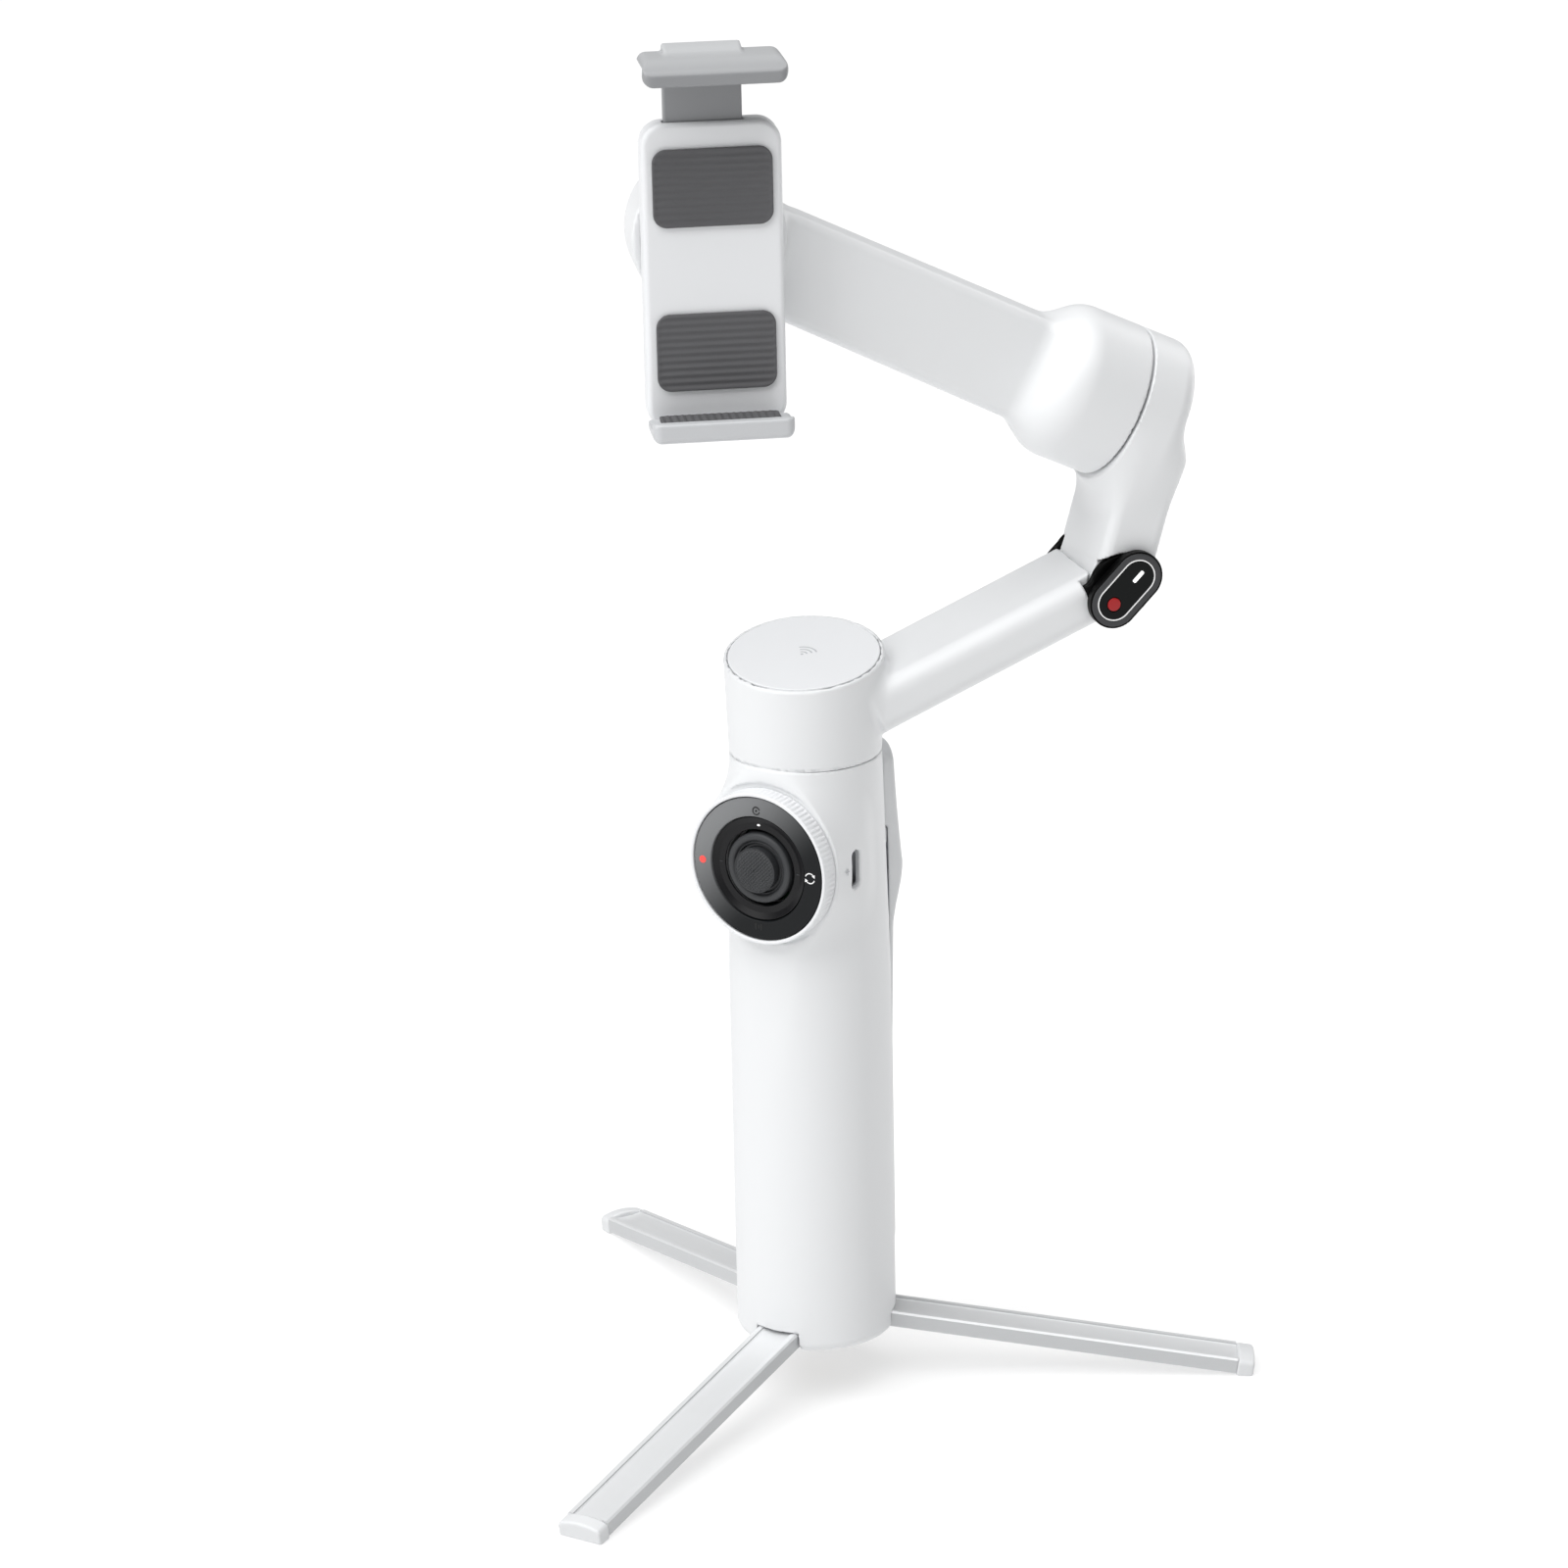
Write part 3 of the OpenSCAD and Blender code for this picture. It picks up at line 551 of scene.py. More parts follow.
def build_handle():
    reach = boss_r + 0.2
    low, high = (-reach, -reach, 0), (reach, handle_r, handle_top)
    shell = solid("handle_shell_skin", handle_field, low, high, 0.55)
    dress(shell, white_shell, "handle", "white_shell", "handle_shell")
    strip = solid("grip_strip_skin", strip_field, (-15.2, 12, 15), (15.2, 23, 138.6), 0.5)
    dress(strip, grip_rubber, "handle", "grip_rubber", "grip_strip")
    trigger = solid("trigger_skin", trigger_field, (-12, 9, 89.2), (12, 24.1, 119), 0.4)
    dress(trigger, white_cap, "trigger", "white_cap", "trigger")


# ---------- thumb dial ----------

dial_face = 21.5
face_mark_z = dial_face - 0.03
bowl_mark_z = 20.57
rib_count = 96
knurl_cell = 0.62
spot = 13.6  # radius at which the ring's marks stand


def build_dial():
    outline = rounded([(8.9, 17.02), (16.5, 17.02), (16.5, dial_face - 0.12), (12.2, dial_face),
                       (11.95, 20.1), (8.9, 20.0)], 0.22)
    face = lathe("touch_ring_skin", outline, DIAL, 256)
    dress(face, ring_black_painted_reflection, "handle", "gloss_black", "touch_ring")
    bowl = rounded([(8.95, 20.05), (11.93, 20.15), (11.93, 21.2), (10.5, 20.55), (8.95, 20.5)], 0.12)
    dress(lathe("ring_insert_skin", bowl, DIAL), recess_black, "handle", "dark_plastic", "ring_insert")

    def ribs(r, z, a):
        zone = (r > 17.2) & (z > 17.5) & (z < 19.3)
        depth = 0.16 * np.clip(np.cos(a * rib_count) * 2, -1, 1)
        return np.where(zone, r - 0.08 + depth * 0.5, r), z

    outline = rounded([(16.75, 17.06), (17.6, 17.06), (17.6, 17.55, 0), (17.6, 17.7, 0), (17.6, 19.0, 0),
                       (17.6, 19.2, 0), (17.6, 21.7, 1.2), (16.75, 21.7)], 0.3)
    rim = lathe("dial_ring_skin", outline, DIAL, 768, ribs)
    dress(rim, white_cap, "dial", "white_cap", "dial_ring")
    build_stick()
    build_marks()


def build_stick():
    """The stick's cap: a raised button with fine diamond knurling on a wide skirt."""
    rows = [(r, 23.2 - 0.5 * (r / 5.2) ** 4) for r in np.linspace(0.05, 5.2, 44)][::-1]
    cap = rounded([(4.6, 19.6), (7.0, 19.6), (7.0, 19.05), (8.1, 19.05), (8.1, 21.15, 3), (6.5, 21.15, 3),
                   (6.15, 20.5), (5.8, 20.5), (5.8, 22.9, 2.2)], 0.25)
    outline = np.concatenate([cap, np.array(rows), np.array([(0.05, 19.6)])])

    def knurl(r, z, a):
        u, v = r * np.cos(a + 0.78), r * np.sin(a + 0.78)
        peaks = np.abs(np.sin(np.pi * u / knurl_cell)) * np.abs(np.sin(np.pi * v / knurl_cell))
        top = (r < 5.0) & (z > 22)
        fade = np.clip((5.0 - r) / 0.5, 0, 1)
        return r, np.where(top, z - 0.25 + 0.28 * peaks * fade, z)

    cap = lathe("stick_cap_skin", outline, DIAL, 288, knurl)
    dress(cap, stick_rubber, "stick", "stick_rubber", "stick_cap")


def flat_mark(name, field, centre, half, height, matrix, look, body, slot, thickness=0.06, step=0.09):
    """A thin printed mark: a plane outline given as a signed distance, standing a hair above a face."""
    def body_field(x, y, z):
        return both(field(x, y), slab(z, height - thickness, height + thickness), 0.02)

    low = (centre[0] - half, centre[1] - half, height - 0.12)
    high = (centre[0] + half, centre[1] + half, height + 0.12)
    return dress(solid(name, body_field, low, high, step, matrix), look, body, slot)


def arc(x, y, r, width, start, end):
    """Distance to a round-ended arc about the origin, angles in degrees."""
    middle, half = math.radians((start + end) / 2), math.radians((end - start) / 2)
    angle = np.arctan2(y, x) - middle
    angle = np.abs((angle + np.pi) % (2 * np.pi) - np.pi)
    ends = np.hypot(np.hypot(x, y) * np.cos(angle) - r * math.cos(half),
                    np.hypot(x, y) * np.sin(angle) - r * math.sin(half))
    return np.where(angle < half, np.abs(np.hypot(x, y) - r), ends) - width / 2


def triangle(x, y, size, heading):
    """Distance to a small triangle that points along heading, in degrees."""
    parts = []
    for k in (0, 120, 240):
        a = math.radians(heading + 180 + k)
        parts.append(x * math.cos(a) + y * math.sin(a) - size / 2)
    return np.maximum(np.maximum(parts[0], parts[1]), parts[2])


def build_marks():
    """Generic marks: swap, level, bars and a dot on the ring, a plus by the port, a few in the bowl."""
    def swap(x, y):
        x = x - spot
        upper = np.minimum(arc(x, y, 1.15, 0.24, 45, 158), triangle(x - 1.0, y - 0.58, 0.5, -62))
        lower = np.minimum(arc(x, y, 1.15, 0.24, 225, 338), triangle(x + 1.0, y + 0.58, 0.5, 118))
        return np.minimum(upper, lower)

    def level(x, y):
        return np.minimum(arc(x, y - spot, 0.85, 0.3, 20, 340), np.hypot(x, y - spot) - 0.28)

    def bars(x, y):
        outer = rectangle(np.abs(x) - 0.7, y + spot, 0.34, 1.5, 0.1)
        return np.minimum(outer, rectangle(x, y + spot, 0.34, 0.9, 0.1))

    def red_dot(x, y):
        return np.hypot(x + 14.3, y) - 0.85

    def plus(x, y, z):
        u, v = y + 13.1, z - 117.4
        shape = np.minimum(rectangle(u, v, 1.6, 0.26, 0.1), rectangle(u, v, 0.26, 1.6, 0.1))
        return both(shape, np.abs(np.hypot(x, z - dial_centre.z) - boss_r - 0.07) - 0.06, 0.02)

    def status(x, y):
        return rectangle(x, y - 10, 0.7, 0.4, 0.19)

    def dashes(x, y):
        return rectangle(np.abs(x) - 10, y, 0.9, 0.14, 0.05)

    face = (face_mark_z, DIAL)
    flat_mark("swap_mark", swap, (spot, 0), 1.8, *face, mark_white_painted_glow, "handle", "light_white")
    flat_mark("level_mark", level, (0, spot), 1.4, *face, mark_black, "handle", "dark_plastic")
    flat_mark("bars_mark", bars, (0, -spot), 1.4, *face, mark_black, "handle", "dark_plastic")
    flat_mark("record_mark", red_dot, (-14.3, 0), 1.2, *face, dot_red_painted_glow, "handle", "record_red")
    mark = solid("port_mark", plus, (18.1, -14, 116.5), (18.5, -12.2, 118.3), 0.08)
    dress(mark, mark_grey, "handle", "white_cap")
    bowl = (bowl_mark_z, DIAL)
    flat_mark("status_light", status, (0, 10), 0.7, *bowl, light_white, "handle", "light_white")
    flat_mark("inner_marks", dashes, (0, 0), 10.8, *bowl, bezel_grey, "handle", "dark_plastic", step=0.1)


# ---------- pan housing, arm, neck ----------

seam_top = housing_low.z
housing_top_r = 18.2
lip_r = 16.96  # thin lip that closes the seam under the housing
arm_w, arm_t, arm_len = 27, 11.6, 62
cap_recess_r, cap_t = 17.08, 2.1
neck_t, neck_len = 13.3, 32
drum_r, neck_drum_len = 17.6, 12  # barrel of the tilt motor
ear_inner, ear_outer = 11.1, 13.3
ear_r = 7.3
knuckle_r, knuckle_half = 7.7, 10.8


def housing_field(x, y, z):
    """The pan housing and its arm, with the cap's recess, the motor's cup and the room for the elbow."""
    rho = np.hypot(x, y)
    wall = rho - np.interp(z, [seam_top, seam_top + 28], [top_r, housing_top_r])
    a, b, c = into(CAP, x, y, z)
    body = both(both(wall, seam_top - z, 0.35), c, 0.8)
    body = np.minimum(body, both(rho - lip_r, slab(z, handle_top + 0.06, seam_top + 2), 0.1))
    s, t, u = into(ARM, x, y, z)
    arm = both(rectangle(t, u, arm_w, arm_t, 4), slab(s, -arm_len, -2), 0.7)
    body = joined(body, arm, 2.5)
    body = cut(body, both(rho - 17.8, -c, 0.2), 0.5)
    body = cut(body, both(np.hypot(a, b) - cap_recess_r, -cap_t - c, 0.2), 0.2)
    body = cut(body, both(rho - cup_r, both(z - 155.5, c + 3, 0.1), 0.2), 0.3)
    body = cut(body, np.hypot(s, u) - 7.4, 0.5)
    body = cut(body, block((s, t, u), (-8, -20, -12), (6, 20, 0), 0.5), 0.4)
    for side in (-1, 1):
        ear_room = block((s, t * side, u), (-8, ear_inner - 0.1, -12), (6, 20, 12), 0.3)
        body = cut(body, ear_room, 0.4)
    return cut(body, block((s, t, u), (-50, -9, -3), (-3, 9, 3), 0.5), 0.3)


def neck_field(x, y, z):
    """The short bar from the elbow's pin to the tilt motor's drum."""
    s, t, u = into(NECK, x, y, z)
    a, b, c = into(TILT, x, y, z)
    ex, ey, ez = into(ELBOW, x, y, z)
    bar = both(rectangle(t, u, arm_w, neck_t, 2.5), slab(s, 0, neck_len), 3)
    pin_distance = np.hypot(ex, ez)
    ear_room = both(pin_distance - knuckle_r, knuckle_half - np.abs(ey), 0.3)
    bar = cut(bar, ear_room, 0.4)
    rho = np.hypot(a, b)
    back = both(both(rho - drum_r, -neck_drum_len - c, 4), c, 0.35)
    body = joined(both(bar, c, 0.2), back, 9)
    body = both(body, c, 0.3)
    body = joined(body, both(pin_distance - 7, np.abs(ey) - knuckle_half, 0.5), 0.6)
    body = cut(body, ear_room, 0.3)
    body = cut(body, pin_distance - 2.05, 0.2)
    body = cut(body, both(rho - cup_r, -6.4 - c), 0.3)
    return cut(body, both(rho - bearing_hole_r, -9.2 - c), 0.2)


def ear_field(x, y, z):
    """Both ears that hold the elbow's pin, each with a tongue into the arm."""
    ey = np.abs(y)
    s, _, u = into(ELBOW.inverted() @ ARM, x, y, z)
    disc = both(np.hypot(x, z) - ear_r, slab(ey, ear_inner, ear_outer), 0.3)
    lug = block((s, ey, u), (-7.95, ear_inner, -4), (0, ear_outer, 4), 0.4)
    tongue = block((s, ey, u), (-12, 11.3, -3), (-7, 13.1, 3), 0.3)
    return cut(np.minimum(joined(disc, lug, 1), tongue), np.hypot(x, z) - 2.02, 0.1)


def build_arm():
    lip_low = (housing_low.x, housing_low.y, handle_top)
    housing = solid("pan_housing_skin", housing_field, lip_low, housing_high, 0.55)
    dress(housing, white_shell, "pan_arm", "white_shell", "pan_housing")
    outline = rounded([(0.05, -2, 0), (17, -2), (17, 0), (0.05, 0, 0)], 0.3)
    dress(lathe("pan_cap_skin", outline, CAP, 256), white_cap, "pan_arm", "white_cap", "pan_cap")
    low, high = corners("neck_shell")
    neck = solid("neck_skin", neck_field, low, high, 0.5)
    dress(neck, white_shell, "neck", "white_shell", "neck_shell")
    ears = solid("elbow_ears_skin", ear_field, (-12, -13.4, -8), (7.4, 13.4, 7.4), 0.4, ELBOW)
    dress(ears, pod_black, "pan_arm", "dark_plastic", "elbow_ears")

    def wave(x, y):
        x = x + 3.2
        arcs = [arc(x, y, r, 0.42, -42, 42) for r in (1.1, 2.2, 3.3)]
        return np.minimum(np.minimum(*arcs[:2]), np.minimum(arcs[2], np.hypot(x, y) - 0.35))

    place = CAP @ turn(65, "Z") @ shift(2.5, 0, 0)
    flat_mark("cap_mark", wave, (-1, 0), 3.4, -0.03, place, mark_grey, "pan_arm", "white_cap")


# ---------- elbow pods ----------

pod_len = 19.4
pod_w = 11.6
pod_back, pod_front = 13.8, 16.3
button_x, light_x = -4.2, 4


def build_pods():
    """Both pods, each in its own frame with Z outward. The near one has a bezel, face, button and light."""
    def pill(x, y, margin=0.0):
        return stadium(x, y, pod_len - margin, pod_w - margin)

    def outer(x, y, z):
        shell = both(pill(x, y), slab(z, pod_back, pod_front), 0.35)
        stalk = both(np.hypot(x, y) - 5.4, slab(z, 13.32, pod_back + 0.5), 0.1)
        return np.minimum(shell, stalk)

    def front(x, y, z):
        well = both(pill(x, y, 0.7), pod_front - 0.75 - z, 0.1)
        return cut(outer(x, y, z), well, 0.1)

    def bezel(x, y, z):
        band = both(pill(x, y, 0.74), -pill(x, y, 3.5), 0.05)
        return both(band, slab(z, pod_front - 0.74, pod_front), 0.3)

    def line(x, y, z):
        band = both(pill(x, y, 3.6), -pill(x, y, 4.1), 0.05)
        return both(band, slab(z, pod_front - 0.7, pod_front - 0.02), 0.05)

    def face(x, y, z):
        plate = both(pill(x, y, 4.2), slab(z, pod_front - 0.74, pod_front - 0.06), 0.12)
        plate = cut(plate, np.hypot(x - button_x, y) - 1.62, 0.08)
        return cut(plate, stadium(x - light_x, y, 3.6, 1.0), 0.05)

    low, high = (-pod_len / 2, -pod_w / 2, 13.2), (pod_len / 2, pod_w / 2, pod_front + 0.1)
    parts = [("pod_front_skin", front, pod_black, "gloss_black", ("pod_front",), 0.25),
             ("pod_bezel", bezel, bezel_grey, "dark_plastic", (), 0.2),
             ("pod_line", line, mark_white_painted_glow, "light_white", (), 0.12),
             ("pod_face_skin", face, gloss_black, "gloss_black", ("pod_face",), 0.2)]
    for name, field, look, slot, nodes, step in parts:
        dress(solid(name, field, low, high, step, POD[-1]), look, "pan_arm", slot, *nodes)
    far_pod = solid("pod_back_skin", outer, low, high, 0.3, POD[1])
    dress(far_pod, pod_black, "pan_arm", "gloss_black", "pod_back")

    def bar(x, y, z):
        return both(stadium(x - light_x, y, 3.2, 0.78), slab(z, pod_front - 0.7, pod_front - 0.02), 0.1)

    def button(x, y, z):
        r = np.hypot(x - button_x, y)
        dome = z - (pod_front + 0.12 - 0.03 * r ** 2)
        return both(r - 1.5, np.maximum(dome, pod_front - 0.6 - z), 0.12)

    light = solid("pod_light_skin", bar, (2, -0.6, 15.4), (6, 0.6, 16.4), 0.1, POD[-1])
    dress(light, light_white, "pan_arm", "light_white", "pod_light")
    key = solid("record_button_skin", button, (-5.9, -1.6, 15.6), (-2.6, 1.6, 16.5), 0.1, POD[-1])
    dress(key, record_red, "record_key", "record_red", "record_button")


# ---------- tilt cover, rear arm, roll motor ----------

bar_start = np.array([16.0, 249.9])  # (x, z) in the clamp's frame
bar_end = np.array([74.6, 220.7])
cover_seam = 0.5
roll_drum_r = 17


def rear_field(x, y, z):
    """Tilt cover, rear arm and roll drum in one, in the clamp's frame."""
    a, b, c = into(CLAMP.inverted() @ TILT, x, y, z)
    rho = np.hypot(a, b)
    cover = both(both(rho - drum_r, cover_seam - c, 0.35), c - 20.5, 8)
    d = bar_end - bar_start
    t = np.clip(((x - bar_start[0]) * d[0] + (z - bar_start[1]) * d[1]) / (d @ d), 0, 1)
    line = np.hypot(x - bar_start[0] - t * d[0], z - bar_start[1] - t * d[1]) - (11.5 + 0.5 * t)
    middle = 6.25 + 3.4 * t
    bar = both(line, np.abs(y - middle) - 5.75, 2.5)
    bar = both(bar, cover_seam - c, 0.2)
    disc = np.hypot(x, z - roll_centre.z)
    drum = both(both(disc - roll_drum_r, y - 15.5, 3), -2.6 - y, 0.5)
    body = joined(joined(cover, bar, 4), drum, 3)
    body = cut(body, both(rho - cup_r, c - 9.5), 0.3)
    body = cut(body, both(disc - cup_r, y - 10.5), 0.3)
    return cut(body, both(disc - bearing_hole_r, y - 13.2), 0.2)


def build_rear():
    body = solid("rear_arm_skin", rear_field, (-18, -22, 190), (100, 24, 276), 0.65, CLAMP)
    dress(body, white_shell, "rear_arm", "white_shell", "tilt_cover")


# ---------- clamp ----------

stem_u = -1.5  # the upper jaw's stem stands a little off the middle
stem_w = 17
slot_gap = 0.2
plate_w, plate_h, plate_z = 30.4, 67.3, 250.85
plate_y = (-10.2, -3.2)
jaw_w = 31.5
jaw_front = -22.3
lip_inner = -19.8  # back of the jaws' lips
phone_low = 221  # where the held phone's two long edges would be
phone_high = 297.3
jaw_top = 299.7
pad_w, pad_h = 26, 17
pad_heights = (234.5, 270.5)
jaw_pad_depth, jaw_pad_y = 8.1, -15.45


def clamp_field(x, y, z):
    """The plate, with its slot for the upper jaw's stem."""
    plate = both(rectangle(x, z - plate_z, plate_w, plate_h, 5), slab(y, *plate_y), 1.2)
    half = stem_w / 2 + slot_gap
    slot = block((x - stem_u, y, z), (-half, -8.75, 223.3), (half, -5.25, 300), 0.3)
    return cut(plate, slot, 0.2)


def ribbed_pad(u, v, w, h, r, depth, bottom, top, pitch=1.6):
    """A rubber pad with shallow ribs across v on its top face."""
    face = rectangle(u, v, w, h, r)
    ribs = 0.14 * np.cos(2 * np.pi * v / pitch)
    edge = np.clip(-face, 0, 1)
    return both(face, np.maximum(depth - top + 0.14 * edge - ribs * edge, bottom - depth), 0.3)


def jaw_outline(x, y, back):
    """A jaw seen from above."""
    return rectangle(x, y - (jaw_front + back) / 2, jaw_w, back - jaw_front, 2.4)


def lower_jaw_field(x, y, z):
    front = both(rectangle(x, z - phone_low, jaw_w, 7.6, 2.2), jaw_outline(x, y, -10.3), 1.0)
    body = both(front, z - phone_low - 0.6, 0.7)
    return cut(body, both(lip_inner - y, phone_low - 0.9 - z, 0.8), 0.4)


def upper_jaw_field(x, y, z):
    front = rectangle(x, z - phone_high + 0.2, jaw_w, 5.2, 2.6)
    crown = both((jaw_front - y) * 0.36, z - jaw_top, 3.4)
    hood = both(both(front, jaw_outline(x, y, -6.5), 0.6), crown, 0.3)
    body = cut(hood, both(lip_inner - y, z - phone_high - 0.82, 0.8), 0.4)
    stem = block((x - stem_u, y, z), (-stem_w / 2, -8.5, 246), (stem_w / 2, -5.5, jaw_top), 0.5)
    body = joined(body, stem, 0.6)
    slope = both(z - jaw_top - 1.8, (z - jaw_top) * 0.94 - (y + 12.5) * 0.34, 1.2)
    bump = both(both(np.abs(x - stem_u) - stem_w / 2, slope, 0.7), slab(y, -21, -6.5), 0.5)
    return joined(body, both(bump, phone_high + 1 - z, 0.2), 0.6)


def build_clamp():
    low, high = (-15.2, plate_y[0], 217.2), (15.2, plate_y[1], 284.5)
    plate = solid("clamp_plate_skin", clamp_field, low, high, 0.45, CLAMP)
    dress(plate, white_cap, "clamp", "white_cap", "clamp_body")

    def pads(x, y, z):
        pair = [ribbed_pad(x, z - m, pad_w, pad_h, 3, -y, 10.22, 11.2) for m in pad_heights]
        return np.minimum(*pair)

    pad = solid("clamp_pads_skin", pads, (-13, -11.2, 226), (13, -10.2, 279), 0.3, CLAMP)
    dress(pad, clamp_rubber, "clamp", "clamp_rubber", "clamp_pads")
    low, high = (-15.8, jaw_front, 217.2), (15.8, -10.3, 221.6)
    jaw = solid("lower_jaw_skin", lower_jaw_field, low, high, 0.3, CLAMP)
    dress(jaw, jaw_grey, "clamp", "jaw_grey", "lower_jaw")
    low, high = (-15.8, jaw_front, 246), (15.8, -5.5, jaw_top + 1.8)
    jaw = solid("upper_jaw_skin", upper_jaw_field, low, high, 0.35, CLAMP)
    # Painted highlight: the upper jaw's top lightens upward, as if lit from above.
    painted_sheen(jaw_grey_painted_shade_highlight, (0, 0, 1), phone_high - 1, jaw_top + 1, (0.53, 0.54, 0.55))
    dress(jaw, jaw_grey_painted_shade_highlight, "jaw", "jaw_grey", "upper_jaw")

    def low_pad(x, y, z):
        return ribbed_pad(y - jaw_pad_y, x, jaw_pad_depth, pad_w, 1, z, phone_low - 0.88, phone_low)

    def high_pad(x, y, z):
        return ribbed_pad(y - jaw_pad_y, x, jaw_pad_depth, pad_w, 1, -z, -phone_high - 0.8, -phone_high)

    pad = solid("lower_pad_skin", low_pad, (-13, -19.5, 220.1), (13, -11.4, 221), 0.25, CLAMP)
    dress(pad, clamp_rubber, "clamp", "clamp_rubber", "lower_jaw_pad")
    pad = solid("upper_pad_skin", high_pad, (-13, -19.5, 297.3), (13, -11.4, 298.1), 0.25, CLAMP)
    dress(pad, clamp_rubber, "jaw", "clamp_rubber", "upper_jaw_pad")


# ---------- tripod ----------

leg_len = 85.7
leg_top, leg_bottom = 2.1, -1.7
foot_len = 4
ground = -12.5  # height of the floor under the feet


def leg_outline():
    """An extruded leg's section: rail, step and hollow band on each side, and a channel underneath."""
    edge = leg_w / 2
    arc_steps = np.linspace(0, math.pi / 2, 9)
    hollow = [(3.4 * math.cos(t), leg_top - 0.30 - 0.35 * math.sin(t)) for t in arc_steps]
    right = [(edge - 0.25, leg_bottom), (edge, leg_bottom + 0.25), (edge, leg_top - 0.45),
             (edge - 0.4, leg_top), (3.75, leg_top), (3.6, leg_top - 0.28)] + hollow
    left = [(-y, z) for y, z in reversed(right)][1:]
    under = [(edge - 1.6, leg_bottom), (edge - 1.8, leg_bottom + 1.5)]
    return np.array(right + left + [(-y, z) for y, z in under] + under[::-1])


def foot_field(x, y, z):
    """A crowned rubber end cap on a leg."""
    crown = z - (2.7 - 0.035 * y ** 2)
    shape = both(np.abs(y) - 5.5, np.maximum(crown, -2.3 - z), 0.9)
    return both(shape, slab(x, leg_len + 0.03, leg_len + foot_len), 0.7)


def build_tripod():
    """Three extruded legs with painted shade on their flanks, and their feet, each cut flat where it stands."""
    for name in LEGS:
        _, azimuth, place = leg_place(name)
        body = name + "_leg"
        leg = sweep(f"leg_{name}_skin", leg_outline(), -leg_top, leg_len, place)
        dress(leg, brushed("leg_aluminium_" + name, azimuth), body, "leg_aluminium", "leg_" + name)
        # The side faces take the darker copy: painted shade.
        leg.data.materials.append(leg_flank_painted_shade)
        across = place.col[1].to_3d()
        for face in leg.data.polygons:
            face.material_index = int(abs(face.normal.dot(across)) > 0.8)

        def field(x, y, z):
            return both(foot_field(x, y, z), ground - into(place.inverted(), x, y, z)[2], 0.35)

        low, high = (leg_len, -5.6, -2.4), (leg_len + foot_len, 5.6, 2.8)
        foot = solid(f"foot_{name}_skin", field, low, high, 0.3, place)
        dress(foot, foot_white_painted_shade, body, "white_cap", "foot_" + name)


# ---------- the rest of the CAD nodes ----------

def paint_nodes():
    """CAD nodes that are already the right shape take the material of their slot."""
    looks = {"copper_coils": copper_coils, "steel": steel, "battery_sleeve": battery_sleeve,
             "circuit_board": circuit_board, "dark_plastic": dark_plastic, "brass": brass,
             "ribbon_film": ribbon_film, "leg_aluminium": brushed("tube_aluminium", 0)}
    slots = {s["node"]: s["material_slot"] for s in frame["record"]["subparts"]}
    for name, node in frame["nodes"].items():
        if not node.hide_render:
            node.data.materials.clear()
            node.data.materials.append(looks[slots[name]])


# ---------- stage ----------

def build_stage():
    """A plain pale floor that reaches past the view."""
    mesh = bpy.data.meshes.new("floor")
    half = 6.0  # m
    signs = ((-1, -1), (1, -1), (1, 1), (-1, 1))
    mesh.from_pydata([(i * half, j * half, ground * MM) for i, j in signs], [], [(0, 1, 2, 3)])
    floor = bpy.data.objects.new("floor", mesh)
    bpy.context.scene.collection.objects.link(floor)
    look = material("floor", (0.40, 0.40, 0.40), 0.8, tint=0.003)
    shader = look.node_tree.nodes["Principled BSDF"]
    shader.inputs["Emission Color"].default_value = (1, 1, 1, 1)
    shader.inputs["Emission Strength"].default_value = 0.60
    mesh.materials.append(look)


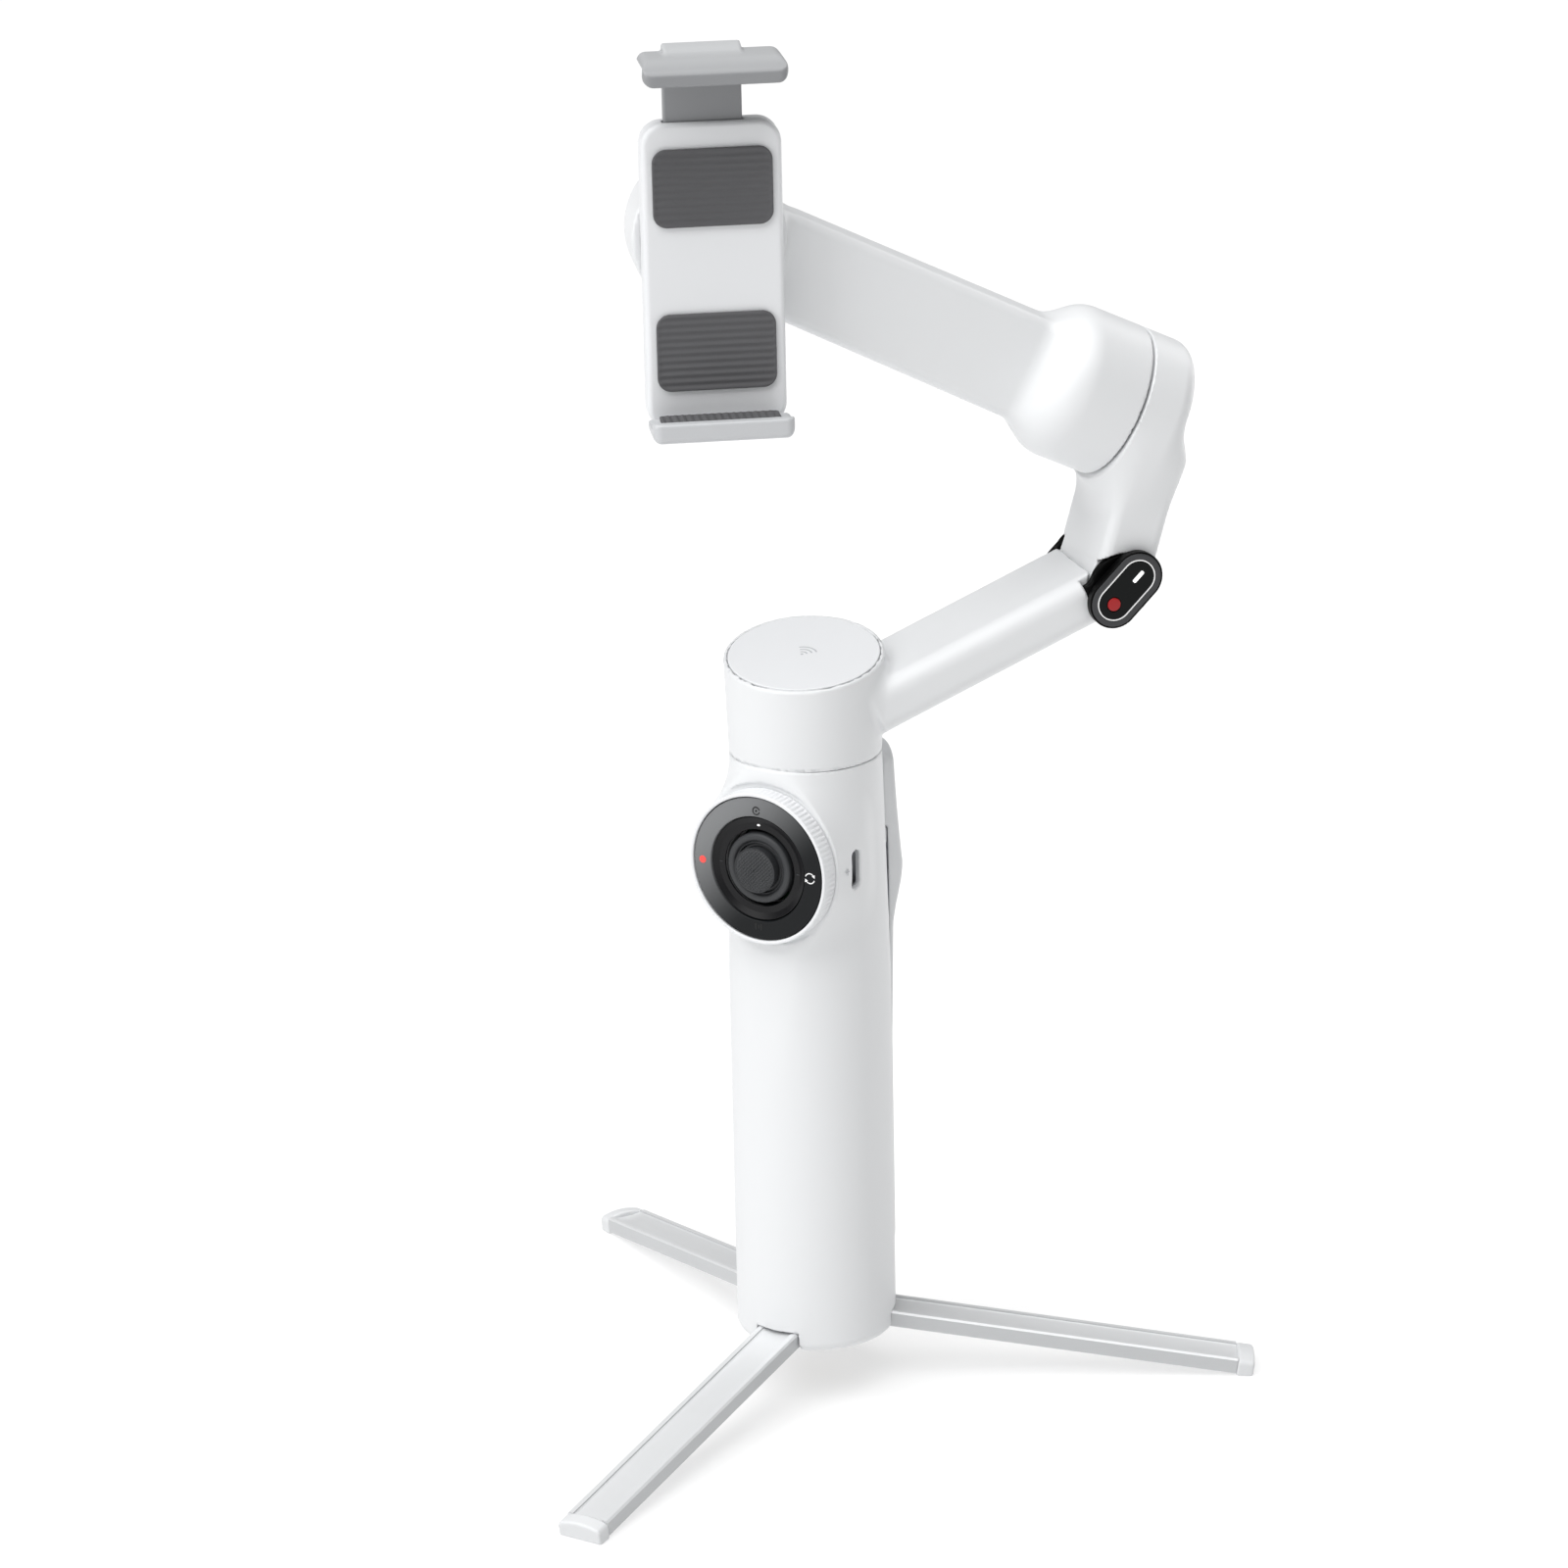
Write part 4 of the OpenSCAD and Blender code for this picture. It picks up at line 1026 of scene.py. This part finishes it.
def area_light(name, azimuth, elevation, distance, size, power):
    """A soft box that looks at the middle of the part; azimuth 0 is at -Y, 90 at +X."""
    lamp = bpy.data.lights.new(name, "AREA")
    lamp.shape = "RECTANGLE"
    lamp.size, lamp.size_y = size
    lamp.energy = power
    a, e = math.radians(azimuth), math.radians(elevation)
    back = Vector((math.sin(a) * math.cos(e), -math.cos(a) * math.cos(e), math.sin(e)))
    holder = bpy.data.objects.new(name, lamp)
    holder.location = Vector((0, 0, 0.15)) + back * distance
    holder.rotation_euler = (-back).to_track_quat("-Z", "Y").to_euler()
    bpy.context.scene.collection.objects.link(holder)


def build_light():
    """Soft light from all round, a key at the left, a rim light behind, and a wide sky from above."""
    world = bpy.data.worlds.new("studio")
    world.use_nodes = True
    shader = world.node_tree.nodes["Background"]
    shader.inputs["Color"].default_value = (1, 1, 1, 1)
    shader.inputs["Strength"].default_value = 0.12
    bpy.context.scene.world = world
    area_light("key", -24, 25, 1.1, (0.6, 0.8), 3.4)
    area_light("rim", 165, 15, 1.0, (0.4, 1.0), 2.8)
    sun = bpy.data.lights.new("sky", "SUN")
    sun.energy, sun.angle = 3.2, math.radians(70)
    holder = bpy.data.objects.new("sky", sun)
    holder.rotation_euler = (math.radians(20), 0, math.radians(-10))
    bpy.context.scene.collection.objects.link(holder)
    bpy.context.scene.view_settings.view_transform = "Standard"


def build_camera():
    """The photograph's viewing angle; distance and target in mm."""
    azimuth, elevation, roll = math.radians(31.72), math.radians(18.45), math.radians(-1.22)
    distance, target = 1240, Vector((-15.2, 15.1, 124.4))
    back = Vector((math.sin(azimuth) * math.cos(elevation), -math.cos(azimuth) * math.cos(elevation),
                   math.sin(elevation)))
    right = Vector((math.cos(azimuth), math.sin(azimuth), 0))
    up = back.cross(right)
    c, s = math.cos(roll), math.sin(roll)
    right, up = right * c + up * s, up * c - right * s
    lens = bpy.data.cameras.new("camera")
    lens.lens, lens.sensor_width = 124.8, 36
    lens.clip_start, lens.clip_end = 0.05, 20
    holder = bpy.data.objects.new("camera", lens)
    rotation = Matrix((right, up, back)).transposed().to_4x4()
    holder.matrix_world = Matrix.Translation((target + back * distance) * MM) @ rotation
    bpy.context.scene.collection.objects.link(holder)
    bpy.context.scene.camera = holder


build_camera()
build_light()
build_stage()
build_handle()
build_dial()
build_arm()
build_pods()
build_rear()
build_clamp()
build_tripod()
paint_nodes()
